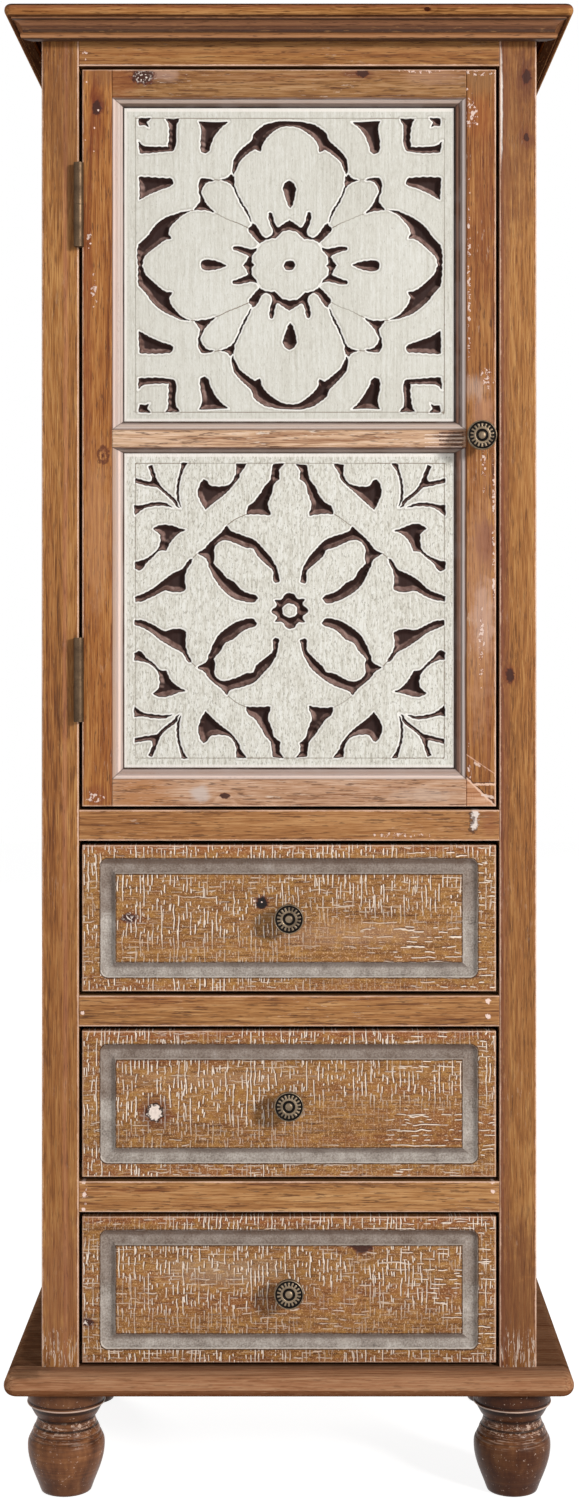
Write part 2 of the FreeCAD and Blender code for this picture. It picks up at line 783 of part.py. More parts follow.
def make_bead(name, field, top_width, bottom_width):
    """Make the four mitred strips that slope from the door's frame down to one panel."""
    plane = face + s.panel_setback
    low, high = field
    side_width = s.bead_side_width
    width = half_field * 2
    height = high - low
    # For each strip: its corner, its length and own width, the widths at its start and end,
    # and where its length and its width point
    strips = [
        ("bottom", (-half_field, low), width, bottom_width, side_width, side_width, (1, 0, 0), (0, 0, 1)),
        ("right", (half_field, low), height, side_width, bottom_width, top_width, (0, 0, 1), (-1, 0, 0)),
        ("top", (half_field, high), width, top_width, side_width, side_width, (-1, 0, 0), (0, 0, -1)),
        ("left", (-half_field, high), height, side_width, top_width, bottom_width, (0, 0, -1), (1, 0, 0)),
    ]
    solids = []
    for edge, (x, z), length, own, start, end, along, inward in strips:
        strip = doc.addObject("Part::Wedge", f"{name}_{edge}")
        bind(strip, Xmin=ZERO, Ymin=ZERO, Zmin=ZERO, X2min=start, Z2min=ZERO, Xmax=length, Ymax=own,
             Zmax=s.panel_setback, X2max=length - end, Z2max=s.bead_edge_thickness)
        solids.append(place(strip, x, plane, z, axes(along, inward)))
    keep(name, group(name, solids))


def make_door(stile_screws):
    """Make the door's frame, beads, panels and knob."""
    deep = (face, door_back)
    upright = (door_bottom, door_top)
    left = board("door_stile_left_board", (-half_door, -half_field), deep, upright)
    keep("door_stile_left", cut("door_stile_left", left, stile_screws))
    hole = make_knob("door_knob", knob_x, knob_z, s.door_thickness)
    right = board("door_stile_right_board", (half_field, half_door), deep, upright)
    keep("door_stile_right", cut("door_stile_right", right, [hole]))
    levels = {
        "door_rail_top": (upper_field[1], door_top),
        "door_rail_middle": (lower_field[1], upper_field[0]),
        "door_rail_bottom": (door_bottom, lower_field[0]),
    }
    for name, level in levels.items():
        keep(name, board(name, (-half_field, half_field), deep, level))
    panel_front = face + s.panel_setback
    for which, field in (("upper", upper_field), ("lower", lower_field)):
        keep(f"door_panel_{which}", block(f"door_panel_{which}", (-half_field, half_field),
                                          (panel_front, panel_front + s.panel_thickness), field))
    make_bead("door_bead_upper", upper_field, s.upper_bead_top_width, s.upper_bead_bottom_width)
    make_bead("door_bead_lower", lower_field, s.lower_bead_top_width, s.lower_bead_bottom_width)


def make_catch():
    """Make the magnetic catch on the right post and its plate on the back of the door."""
    middle = door_bottom + door_height * s.catch_rise_share
    plate_back = door_back + s.catch_plate_thickness
    body_x = (half_opening - s.catch_width, half_opening)
    keep("door_catch", block("door_catch", body_x, (plate_back + s.slip_clearance, post_back),
                             (middle - s.catch_height / 2, middle + s.catch_height / 2)))
    plate_left = half_door - (s.catch_width - s.door_gap + s.catch_plate_width) / 2
    plate_bottom = middle - s.catch_plate_height / 2
    keep("catch_plate", block("catch_plate", (plate_left, plate_left + s.catch_plate_width),
                              (door_back, plate_back), (plate_bottom, plate_bottom + s.catch_plate_height)))


def make_front_groove(name, x, z):
    """Return the round-nosed cutters that run round a drawer front."""
    width = s.front_groove_width
    depth = s.front_groove_depth
    radius = width * width / (depth * 8) + depth / 2
    axis_y = face - radius + depth
    inset = width / 2
    half = x - s.front_groove_side_margin - inset
    low = z[0] + s.front_groove_top_margin + inset
    high = z[1] - s.front_groove_top_margin - inset
    cutters = []
    for edge, level in (("bottom", low), ("top", high)):
        cutters.append(rod(f"{name}_groove_{edge}", (-half, axis_y, level), radius, half * 2, ALONG_X))
        for side_name, side in SIDES.items():
            ball = doc.addObject("Part::Sphere", f"{name}_corner_{edge}_{side_name}")
            bind(ball, Radius=radius)
            cutters.append(place(ball, half * side, axis_y, level))
    for side_name, side in SIDES.items():
        cutters.append(rod(f"{name}_groove_{side_name}", (half * side, axis_y, low), radius, high - low))
    return cutters


def make_drawer(number, floor):
    """Make one drawer that runs on the level called floor."""
    name = f"drawer_{number}"
    front_level = (floor + s.drawer_gap, floor + s.drawer_opening_height - s.drawer_gap)
    front_back = face + s.drawer_front_thickness
    box_rear = back_front - s.drawer_rear_clearance
    half_box = half_door - s.drawer_side_clearance
    inner = half_box - s.drawer_side_thickness
    side_level = (floor + s.slip_clearance, floor + s.drawer_opening_height - s.drawer_side_drop)
    front = board(f"{name}_front_board", (-half_door, half_door), (face, front_back), front_level)
    knob_level = (front_level[0] + front_level[1]) / 2 + s.drawer_knob_lift
    hole = make_knob(f"{name}_knob", 0, knob_level, s.drawer_front_thickness)
    cutters = make_front_groove(name, half_door, front_level)
    keep(f"{name}_front", cut(f"{name}_front", front, cutters + [hole]))

    bottom_low = side_level[0] + s.drawer_bottom_rise
    bottom_high = bottom_low + s.drawer_bottom_thickness
    grooved = inner + s.drawer_bottom_groove
    bottom = block(f"{name}_bottom", (-grooved, grooved), (front_back, box_rear), (bottom_low, bottom_high))
    keep(f"{name}_bottom", bottom)
    sides = []
    for side_name, side in SIDES.items():
        plank = block(f"{name}_side_{side_name}_board", span(side, inner, half_box), (front_back, box_rear),
                      side_level)
        sides.append(cut(f"{name}_side_{side_name}", plank, [bottom]))
    keep(f"{name}_sides", group(f"{name}_sides", sides))
    keep(f"{name}_back", block(f"{name}_back", (-inner, inner),
                               (box_rear - s.drawer_side_thickness, box_rear), (bottom_high, side_level[1])))


def make_bearers():
    """Make the bearers that the two upper drawers run on, and the guides beside all three."""
    deep = (rail_back, back_front)
    bearers = []
    guides = []
    guide_inner = half_door - s.drawer_side_clearance + s.guide_clearance
    for number, floor in enumerate(drawer_floors, start=1):
        for side_name, side in SIDES.items():
            if number < len(drawer_floors):
                bearers.append(block(f"bearer_{number}_{side_name}",
                                     span(side, half_opening - s.bearer_width, half_opening), deep,
                                     (floor - s.bearer_height, floor)))
            guides.append(block(f"guide_{number}_{side_name}", span(side, guide_inner, half_opening), deep,
                                (floor, floor + s.guide_height)))
    keep("drawer_bearers", group("drawer_bearers", bearers))
    keep("drawer_guides", group("drawer_guides", guides))


post_holes = {f"post_{end}_{side_name}": [] for end in ("front", "rear") for side_name in SIDES}
foot_dowels = make_feet()
make_base(foot_dowels)
post_screws, door_screws = make_hinges()
post_holes["post_front_left"].extend(post_screws)
make_shelf(post_holes)
make_posts(post_holes)
make_front_rails()
make_sides()
make_deck()
make_crown()
make_door(door_screws)
make_catch()
for drawer_number, drawer_floor in enumerate(drawer_floors, start=1):
    make_drawer(drawer_number, drawer_floor)
make_bearers()
doc.recompute()

for item in doc.Objects:
    if "Invalid" in item.State or "Error" in item.State:
        raise RuntimeError(f"{item.Label} did not compute: {item.State}")
    if item.TypeId == "Part::Cut" and item.Shape.Volume >= item.Base.Shape.Volume - 1e-6:
        raise RuntimeError(f"{item.Label} has a cutter that takes nothing away")
for node_name, item in nodes.items():
    if item.Shape.isNull() or not item.Shape.isValid() or not item.Shape.Solids:
        raise RuntimeError(f"{node_name} is not a valid solid")

os.makedirs("parts", exist_ok=True)
for node_name, item in nodes.items():
    item.Shape.exportStep(f"parts/{node_name}.step")
print(len(nodes), "sub-parts written")
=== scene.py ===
import math
import random

import bmesh
import bpy
import numpy as np
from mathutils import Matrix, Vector
from mathutils.geometry import delaunay_2d_cdt
from mathutils.kdtree import KDTree


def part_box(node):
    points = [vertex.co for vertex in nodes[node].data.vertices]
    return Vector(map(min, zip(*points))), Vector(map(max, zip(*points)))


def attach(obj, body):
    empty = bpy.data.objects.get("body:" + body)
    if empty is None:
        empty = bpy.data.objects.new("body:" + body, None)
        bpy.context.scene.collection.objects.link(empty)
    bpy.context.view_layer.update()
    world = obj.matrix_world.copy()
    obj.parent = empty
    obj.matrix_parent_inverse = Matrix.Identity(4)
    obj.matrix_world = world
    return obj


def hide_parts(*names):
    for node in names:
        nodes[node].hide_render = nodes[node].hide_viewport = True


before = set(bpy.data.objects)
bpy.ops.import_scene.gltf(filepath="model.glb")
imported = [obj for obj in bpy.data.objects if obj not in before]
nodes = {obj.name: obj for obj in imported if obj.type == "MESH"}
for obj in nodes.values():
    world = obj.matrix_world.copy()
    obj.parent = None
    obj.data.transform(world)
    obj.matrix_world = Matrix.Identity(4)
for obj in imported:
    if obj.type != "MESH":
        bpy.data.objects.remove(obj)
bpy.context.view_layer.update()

# Pantry cupboard. Metres. The fronts face -Y, the origin is on the floor under the middle.
MM = 0.001
scene = bpy.context.scene


# Shading helpers

class Value:
    """A shader value that can be added, subtracted and multiplied."""

    def __init__(self, shade, socket):
        self.shade = shade
        self.socket = socket

    def __add__(self, other):
        return self.shade.math("ADD", self, other)

    def __sub__(self, other):
        return self.shade.math("SUBTRACT", self, other)

    def __rsub__(self, other):
        return self.shade.math("SUBTRACT", other, self)

    def __mul__(self, other):
        return self.shade.math("MULTIPLY", self, other)


class Shade:
    """A material under construction: each call adds a node and returns its value."""

    def __init__(self, name, shift=(0, 0, 0)):
        self.material = bpy.data.materials.new(name)
        self.material.use_nodes = True
        self.tree = self.material.node_tree
        self.tree.nodes.clear()
        self.surface = self.tree.nodes.new("ShaderNodeBsdfPrincipled")
        output = self.tree.nodes.new("ShaderNodeOutputMaterial")
        self.tree.links.new(self.surface.outputs[0], output.inputs["Surface"])
        coordinates = self.tree.nodes.new("ShaderNodeTexCoord")
        self.place = Value(self, coordinates.outputs["Object"])
        self.axis = self.parts(self.place)
        self.facing = self.parts(Value(self, coordinates.outputs["Normal"]))
        self.shift = shift
        self.colour = None

    def node(self, kind, *values, output=0, **settings):
        """Add a node, with its first inputs linked or set to constants."""
        node = self.tree.nodes.new("ShaderNode" + kind)
        for name, setting in settings.items():
            setattr(node, name, setting)
        for socket, value in zip(node.inputs, values):
            self.put(socket, value)
        return Value(self, node.outputs[output])

    def put(self, socket, value):
        """Link a value to an input, or set the input to a constant."""
        if isinstance(value, Value):
            self.tree.links.new(value.socket, socket)
        elif value is not None:
            socket.default_value = value

    def parts(self, vector):
        node = self.node("SeparateXYZ", vector).socket.node
        return dict(zip("XYZ", [Value(self, socket) for socket in node.outputs]))

    def math(self, operation, a, b=None, clamp=False):
        return self.node("Math", a, b, operation=operation, use_clamp=clamp)

    def low(self, a, b):
        return self.math("MINIMUM", a, b)

    def high(self, a, b):
        return self.math("MAXIMUM", a, b)

    def far(self, a, b=None):
        """The absolute difference of two values, or one value without its sign."""
        return self.math("ABSOLUTE", a if b is None else a - b)

    def length(self, a, b):
        return self.math("SQRT", a * a + b * b)

    def span(self, value, low, high, to_low=0.0, to_high=1.0, kind="SMOOTHSTEP"):
        """Map a value's range to another, held at the ends."""
        return self.node("MapRange", value, low, high, to_low, to_high, interpolation_type=kind, clamp=True)

    def fall(self, value, low, high, top=1.0):
        """A value from low to high, mapped down from the top to 0."""
        return self.span(value, low, high, top, 0.0)

    def noise(self, vector, detail=2, roughness=0.5, distortion=0.0, scale=1.0):
        node = self.node("TexNoise").socket.node
        for name, value in (("Vector", vector), ("Scale", scale), ("Detail", detail),
                            ("Roughness", roughness), ("Distortion", distortion)):
            self.put(node.inputs[name], value)
        return Value(self, node.outputs[0])

    def cloud(self, scales, *settings, shift=None, **more):
        """Noise on the place, scaled alike or on each axis, and moved."""
        mapping = self.node("Mapping").socket.node
        self.put(mapping.inputs["Vector"], self.place)
        self.put(mapping.inputs["Location"], shift or self.shift)
        self.put(mapping.inputs["Scale"], scales if isinstance(scales, (tuple, list)) else (scales,) * 3)
        return self.noise(Value(self, mapping.outputs[0]), *settings, **more)

    def mix(self, factor, a, b):
        node = self.node("Mix", factor, data_type="RGBA").socket.node
        for socket, value in zip((node.inputs[6], node.inputs[7]), (a, b)):
            self.put(socket, value if isinstance(value, Value) else rgba(value))
        return Value(self, node.outputs[2])

    def coat(self, factor, tint):
        """Cover the material's colour with a tint."""
        self.colour = self.mix(factor, self.colour, tint)

    def ramp(self, value, stops):
        colour = self.node("ValToRGB", value)
        band = colour.socket.node.color_ramp
        while len(band.elements) < len(stops):
            band.elements.new(0.5)
        for element, (position, tint) in zip(band.elements, stops):
            element.position = position
            element.color = rgba(tint)
        return colour

    def attribute(self, name):
        return self.node("Attribute", output="Fac", attribute_name=name)

    def bump(self, height, distance, strength=1.0):
        node = self.node("Bump").socket.node
        for name, value in (("Strength", strength), ("Distance", distance), ("Height", height)):
            self.put(node.inputs[name], value)
        return Value(self, node.outputs[0])

    def finish(self, roughness, normal, colour=None, **constants):
        self.put(self.surface.inputs["Base Color"], colour or self.colour)
        self.put(self.surface.inputs["Roughness"], roughness)
        self.put(self.surface.inputs["Normal"], normal)
        for name, value in constants.items():
            self.surface.inputs[name.replace("_", " ")].default_value = value
        return self.material


def rgba(colour):
    """A colour given as 0-255 screen values, as linear light."""
    levels = [value / 255 for value in colour]
    return (*[v / 12.92 if v <= 0.04045 else ((v + 0.055) / 1.055) ** 2.4 for v in levels], 1.0)


def dress(name, material):
    """Give a CAD node its material."""
    slots = nodes[name].data.materials
    if not slots:
        slots.append(material)
    for index in range(len(slots)):
        slots[index] = material


# Wood

def tones(dark, mid, light):
    return {"dark": dark, "mid": mid, "light": light}


CASE = tones((88, 48, 18), (154, 100, 50), (188, 138, 82))
DOOR = tones((100, 48, 18), (158, 98, 46), (188, 134, 78))
DOOR_PALE = tones((146, 102, 72), (208, 170, 138), (234, 208, 186))
DRAWER = tones((90, 52, 22), (142, 95, 46), (172, 126, 72))
DOOR_SIDE = tones((92, 44, 18), (143, 88, 42), (180, 127, 74))
RAIL = tones((94, 54, 28), (164, 113, 64), (198, 152, 102))
RAIL_MIDDLE = tones((90, 50, 24), (154, 102, 57), (188, 140, 92))
RAIL_TOP = tones((92, 52, 24), (156, 104, 54), (188, 142, 88))
DOOR_TOP = tones((94, 56, 32), (146, 102, 58), (178, 138, 98))
DOOR_LOW = tones((130, 84, 54), (183, 140, 108), (212, 180, 158))
BASE_WOOD = tones((116, 76, 50), (172, 123, 90), (194, 152, 117))
TRIM = tones((84, 48, 22), (146, 98, 54), (178, 130, 82))
CROWN_WOOD = tones((98, 60, 30), (162, 112, 65), (194, 144, 92))
INSIDE = tones((150, 108, 68), (186, 146, 100), (204, 168, 122))
# EDGE: the pale of worn edges, also used as a painted highlight on eased edges
EDGE = (226, 188, 164)
WASH = (228, 210, 194)
RED = (128, 58, 32)
PORE = (70, 36, 20)
# One growth ring, from its pale early wood to its dark late wood
GROWTH = [(place, (grey,) * 3) for place, grey in ((0.0, 200), (0.10, 255), (0.5, 186), (0.80, 70), (0.90, 0),
                                                   (1.0, 200))]


def wood(name, along, box, palette, seed, spacing=3.8, pith=(0.03, 0.02), taper=0.02, figure=0.30, knots=(),
         edge=0.8, sides=("-X", "+X", "-Z", "+Z"), wash=0.0, saw=None, groove=None, specks=(), chips=(),
         patches=(), stripes=(), red=0.3, rough=(0.45, 0.65), shine=0.25, wash_end=0.0, dark_sides=0.0,
         front_axis="Y", pitted=0.65, scratches=(), mitre=None):
    """Wood cut from a log: rings round a slanted pith, with fibres, knots, worn edges with painted
    highlights, painted shade on the sides and a white wash.
    """
    rng = random.Random(seed)
    s = Shade(name, (rng.uniform(-9, 9), rng.uniform(-9, 9), rng.uniform(-9, 9)))
    front = [axis for axis in "XYZ" if axis != front_axis]
    s.front = [s.axis[axis] for axis in front]
    low, high = box
    middle = (low + high) / 2
    index = "XYZ".index(along)

    def fibres(across, length, *settings, **more):
        """Noise drawn out along the grain."""
        scales = [across] * 3
        scales[index] = length
        return s.cloud(scales, *settings, **more)

    # Rings: the distance from a pith that leans along the board, warped by slow noise
    others = [number for number in range(3) if number != index]
    u, v = [s.axis["XYZ"[number]] - (middle[number] + aside) for number, aside in zip(others, pith)]
    u = u + (fibres(3.0, 2.2) - 0.5) * 0.07
    v = v + (s.axis[along] - middle[index]) * taper
    ring = s.length(u, v) + (fibres(16, 3, 3, 0.55) - 0.5) * 0.016
    core, deep, filled, ring = knot_marks(s, knots, front[0] == along, ring)
    grain = s.ramp(s.math("FRACT", ring * (1.0 / (spacing * MM))), GROWTH)
    streak = fibres(150, 4, 3, 0.6)
    fibre = fibres(430, 16, 3, 0.65)
    hair = fibres(1100, 36, 2, 0.6)
    patch = fibres(26, 2.4, 3, 0.55, 0.3)
    fade = s.span(fibres(30, 4), 0.35, 0.65, 0.25, 1.0)
    tone = (grain - 0.5) * figure * fade + 0.52
    for noise, amount in ((streak, 0.60), (fibre, 1.0), (hair, 1.6), (patch, 0.8)):
        tone = tone + (noise - 0.5) * amount
    s.colour = s.ramp(tone, [(0.05, palette["dark"]), (0.5, palette["mid"]), (0.95, palette["light"])])
    s.coat(s.span(fibres(40, 1.8, 2, 0.6, 0.4), 0.50, 0.70) * red, RED)
    wander = fibres(60, 12, 3, 0.6)
    for axis, start, end, soft, tint, strength in stripes:
        place = s.axis[axis] + (wander - 0.5) * (soft * MM * 3)
        reach = s.span(place, (start - soft) * MM, (start + soft) * MM)
        s.coat(reach * s.fall(place, (end - soft) * MM, (end + soft) * MM) * strength, tint)
    # Short dark pores and pale flecks
    pores = s.span(fibres(620, 60, 2, 0.7), 0.58, 0.66)
    s.coat(pores * pitted, PORE)
    s.coat(s.span(fibres(560, 56, 2, 0.7, scale=1.7), 0.60, 0.70) * 0.40, palette["light"])
    blur = s.cloud(90, 3, 0.6, 0.5)
    for *place, tint, strength in patches:
        reach = oval(s, *place) + ((blur + fibre) * 0.5 - 0.5) * 2.2
        s.coat(s.fall(reach, 0.35, 1.1) * strength, tint)
    # Nearness to the board's long edges
    near_edge = 1.0
    for sign, axis in sides:
        number = "XYZ".index(axis)
        near_edge = s.low(near_edge,
                          s.axis[axis] - low[number] if sign == "-" else high[number] - s.axis[axis])
    ragged = s.cloud(170, 3, 0.7)
    if saw:
        marks = saw_marks(s, saw, middle.z)
    if knots:
        s.coat(s.span(core, 0.05, 0.5) * 0.75, (92, 40, 24))
        s.coat(s.span(core, 0.5, 1.0) * 0.85, (50, 22, 14))
        s.coat(deep, (16, 7, 5))
        s.coat(filled, (238, 222, 212))
    if wash:
        speck = s.span(fibres(420, 70, 3, 0.75), 0.60, 0.66)
        s.coat(speck * s.span(s.cloud(16), 0.45, 0.75) * wash, WASH)
    if wash_end:
        near = s.fall(s.axis["Z"] - low[2], 0.004, 0.040)
        lines = s.span(s.cloud((520, 430, 60), 3, 0.7, 1.0) + near * 0.08, 0.61, 0.66)
        s.coat(lines * s.span(near, 0.0, 0.2) * wash_end, WASH)
    if chips:
        zone = 0.0
        for chip in chips:
            zone = s.high(zone, s.fall(oval(s, *chip), 0.45, 1.0))
        flake = s.cloud((330, 330, 280), 3, 0.65) + zone * 0.12
        s.coat(s.span(flake, 0.56, 0.66) * (zone * 0.35), RED)
        s.coat(s.span(flake, 0.66, 0.70) * s.span(zone, 0.0, 0.3) * 0.85, (232, 208, 196))
    for a, b, size in specks:
        reach = s.length(s.front[0] - a * MM, s.front[1] - b * MM)
        reach = reach + (s.cloud(700, 1) - 0.5) * (size * MM * 0.9)
        s.coat(s.fall(reach, size * MM * 0.45, size * MM * 0.6), (240, 212, 200))
    if mitre:
        mitred_corner(s, *mitre)
    if scratches:
        rough_edge = s.cloud(450, 3, 0.7)
    for line in scratches:
        scratch(s, ragged, rough_edge, *line)
    # Worn edges: pale where the paint is rubbed off, and a painted highlight on the eased front edges
    if edge:
        uneven = s.span(s.cloud(26, 3, 0.6), 0.3, 0.6, 0.45, 1.0)
        worn = s.fall(near_edge + (ragged - 0.5) * 0.0018, 0.0007, 0.0017)
        outward = s.span(s.far(s.facing[front_axis]), 0.25, 0.5)
        s.coat(worn * edge * uneven * outward, EDGE)
        # Painted shade on the faces that do not face front, which darkens the gaps between parts
        s.coat((1.0 - outward) * dark_sides, (48, 28, 18))
    relief = fibre * 0.8 + streak * 0.5 + pores * -0.7 + grain * 0.2
    gloss = s.span(streak * 0.5 + ragged * 0.5, 0.3, 0.7, *rough, kind="LINEAR")
    if groove:
        gloss = s.high(gloss, painted_groove(s, *groove) * 0.72)
    if saw:
        relief = relief + marks * 0.6
    return s.finish(gloss, s.bump(relief, 0.0005, 0.6), Specular_IOR_Level=shine)


def oval(s, a, b, half_a, half_b):
    """The distance on a front from the middle of an oval, 1 at its rim."""
    return s.length((s.front[0] - a * MM) * (1.0 / (half_a * MM)),
                    (s.front[1] - b * MM) * (1.0 / (half_b * MM)))


def knot_marks(s, knots, level, ring):
    """Return the knots' dark cores, their holes, what fills them, and the rings bent round them."""
    core = deep = filled = 0.0
    for a, b, size, power, kind in knots:
        size *= MM
        du = s.front[0] - a * MM
        dv = s.front[1] - b * MM
        if kind not in ("white", "hole"):
            # Knots are drawn out along the grain
            du, dv = (du * 0.62, dv) if level else (du, dv * 0.62)
        reach = s.length(du, dv) + (s.cloud(300, 3, 0.6) - 0.5) * (size * 1.1)
        bend = s.math("EXPONENT", reach * reach * (-1.0 / (size * 2.6) ** 2))
        ring = ring + bend * (power * MM)
        if kind == "swirl":
            core = s.high(core, s.fall(s.far(reach, size * 0.7), 0.0, size * 0.35, 0.7))
            core = s.high(core, s.fall(reach, 0.0, size * 0.3, 0.8))
        else:
            core = s.high(core, s.fall(reach, size * 0.62, size * 1.02))
        if kind == "white":
            core = s.high(core, s.fall(reach, size, size * 2.6, 0.36))
            filled = s.high(filled, s.fall(reach, size * 0.60, size * 0.74))
            deep = s.high(deep, s.fall(reach, size * 0.82, size * 0.95, 0.8))
        if kind == "hole":
            deep = s.high(deep, s.fall(reach, size * 0.5, size * 0.85))
        if kind == "flecked":
            near = s.fall(reach, size * 0.2, size * 0.9)
            filled = s.high(filled, near * s.span(s.cloud(520, 1), 0.52, 0.6))
    return core, deep, filled, ring


def scratch(s, ragged, rough_edge, from_u, from_v, to_u, to_v, half, tint, strength):
    """One scratch on a front, from a point to a point, with its half width."""
    run_u, run_v = to_u - from_u, to_v - from_v
    du = s.front[0] - from_u * MM
    dv = s.front[1] - from_v * MM
    share = s.math("MULTIPLY", du * run_u + dv * run_v, 1.0 / (MM * (run_u ** 2 + run_v ** 2)), clamp=True)
    reach = s.length(du - share * (run_u * MM), dv - share * (run_v * MM))
    wear = (ragged - 0.5) * 1.8 + (rough_edge - 0.5) * 2.6
    reach = reach + wear * (half * MM)
    s.coat(s.fall(reach, half * MM * 0.6, half * MM * 1.2) * strength, tint)


def mitred_corner(s, x, z, slope):
    """The bottom rail's wood in the triangle below the slanted joint at the door's corner."""
    below = (z + x * slope) * MM - (s.axis["Z"] + s.axis["X"] * slope)
    rail = s.ramp(s.cloud((16, 16, 420), 3, 0.6), [(0.3, (132, 78, 48)), (0.5, (182, 128, 90)),
                                                   (0.7, (214, 172, 142))])
    s.coat(s.span(below, 0.0, 0.0003), rail)


def strokes(s, across, along, pitch, width, length, cover, seed):
    """Thin separate strokes along an axis: one to a pitch, each moved a little, on in some stretches. A
    second line beside each stroke is for its painted shadow.
    """
    place = s.axis[across] * (1.0 / pitch) + s.cloud(70, shift=(seed, 0, seed)) * 0.9
    number = s.math("FLOOR", place)
    spread = s.node("TexWhiteNoise", noise_dimensions="1D").socket.node
    s.put(spread.inputs["W"], number + seed)
    middle = Value(s, spread.outputs["Value"]) * 0.3 + 0.35
    run = s.noise(s.node("CombineXYZ", number * 3.71, s.axis[along] * (1.0 / length), seed), 1)
    on = s.span(run, cover, cover + 0.05)
    half = width / pitch * 0.30
    offset = place - number
    return [s.fall(s.far(offset, line), half, half * 2) * on for line in (middle, middle + half * 3)]


def saw_marks(s, settings, middle_z):
    """Short upright and level strokes of white paint left in saw marks, each with a painted shadow beside it.
    """
    amount, bare = settings
    x, z = s.axis["X"], s.axis["Z"]
    where = s.cloud((13, 13, 26))
    upright = s.span(where, 0.38, 0.48, 0.25, 1.0)
    level = s.span(where, 0.44, 0.56, 1.0, 0.30)
    # Few upright strokes low at the right, and low inside the groove
    below = s.fall(z, middle_z - 0.006, middle_z + 0.016)
    upright = upright * (1.0 - s.span(x, -0.03, 0.04) * below * bare)
    band = s.span(z, middle_z - 0.041, middle_z - 0.037) * s.fall(z, middle_z - 0.024, middle_z - 0.012)
    upright = upright * (1.0 - band * 0.6)
    level = level * s.span(x, 0.06, 0.13, 0.55, 1.0)
    marks = grooves = 0.0
    for across, along, pitch, width, length, cover, seed in (
            ("X", "Z", 0.0038, 0.0010, 0.010, 0.49, s.shift[0]),
            ("X", "Z", 0.0062, 0.0011, 0.008, 0.54, s.shift[1]),
            ("Z", "X", 0.0044, 0.0009, 0.012, 0.53, s.shift[2]),
            ("Z", "X", 0.0072, 0.0011, 0.018, 0.57, s.shift[0])):
        thin, beside = strokes(s, across, along, pitch, width, length, cover, seed)
        share = upright if along == "Z" else level
        marks = s.high(marks, thin * share)
        grooves = s.high(grooves, beside * share)
    # A reddish or a golden shade beside the strokes
    shade = s.cloud((120, 60, 150), 3, 0.65)
    s.coat(s.span(shade, 0.52, 0.68) * 0.3, (122, 66, 38))
    s.coat(s.fall(shade, 0.34, 0.48) * 0.5, (176, 128, 62))
    grit = s.span(s.cloud((460, 460, 400), 2, 0.6), 0.60, 0.65)
    fine = s.span(s.cloud((900, 900, 760), 1), 0.57, 0.63)
    s.coat(s.high(grit * 0.75, fine * 0.4), (214, 174, 134))
    patchy = s.span(s.cloud((46, 46, 60)), 0.36, 0.56, 0.72, 1.0)
    # Painted shadow: a dark line beside each stroke
    s.coat(grooves * patchy * 0.8, (74, 40, 26))
    s.coat(marks * amount * patchy, (250, 234, 218))
    return marks


def painted_groove(s, half_x, low_z, high_z, half_width):
    """The grey-white paint in a front's groove, thin at its rims, with painted shade and highlights. Returns
    where it lies.
    """
    middle_z = (low_z + high_z) / 2
    dx = s.far(s.axis["X"]) - half_x
    dz = s.far(s.axis["Z"], middle_z) - (high_z - low_z) / 2
    # Signed distance from the middle line's rectangle
    away = s.length(s.high(dx, 0.0), s.high(dz, 0.0)) + s.low(s.high(dx, dz), 0.0)
    reach = s.far(away) + (s.cloud(420) - 0.5) * 0.0009
    # Painted shade: a dark line along both rims, just outside the paint
    s.coat(s.fall(s.far(reach, half_width + 0.0006), 0.0002, 0.0007) * 0.9, (50, 29, 19))
    paint = s.fall(reach, half_width - 0.0001, half_width + 0.0003)
    tint = s.ramp(s.cloud(640, 3, 0.7) * 0.6 + s.cloud(60, 2, 0.6) * 0.4, [
        (0.32, (82, 70, 62)), (0.45, (142, 131, 122)), (0.56, (172, 163, 155)), (0.7, (206, 199, 192))])
    # Painted light and shade in the groove: a highlight on the rims that face up, shade on the faces that
    # turn down, darker in the upper half and lighter in the lower half
    rim = s.fall(s.far(reach, half_width - 0.0004), 0.0, 0.0007)
    up, z = s.facing["Z"], s.axis["Z"]
    for cover, shade in ((rim * s.span(up, -0.1, 0.2, 0.0, 0.8), (226, 216, 206)),
                         (s.span(up, -0.05, -0.45, 0.0, 0.6), (88, 66, 54)),
                         (s.span(z, middle_z, middle_z + 0.01) * 0.4, (112, 88, 74)),
                         (s.fall(z, middle_z - 0.01, middle_z) * 0.1, (214, 206, 200))):
        tint = s.mix(cover, tint, shade)
    s.coat(paint, tint)
    return paint


def board(name, along, palette, seed, **settings):
    """Dress one CAD board as wood whose grain runs along an axis."""
    dress(name, wood(f"wood_{name}", along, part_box(name), palette, seed, **settings))


def ends(name):
    """A board's lower and upper end in mm."""
    low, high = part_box(name)
    return low.z / MM, high.z / MM


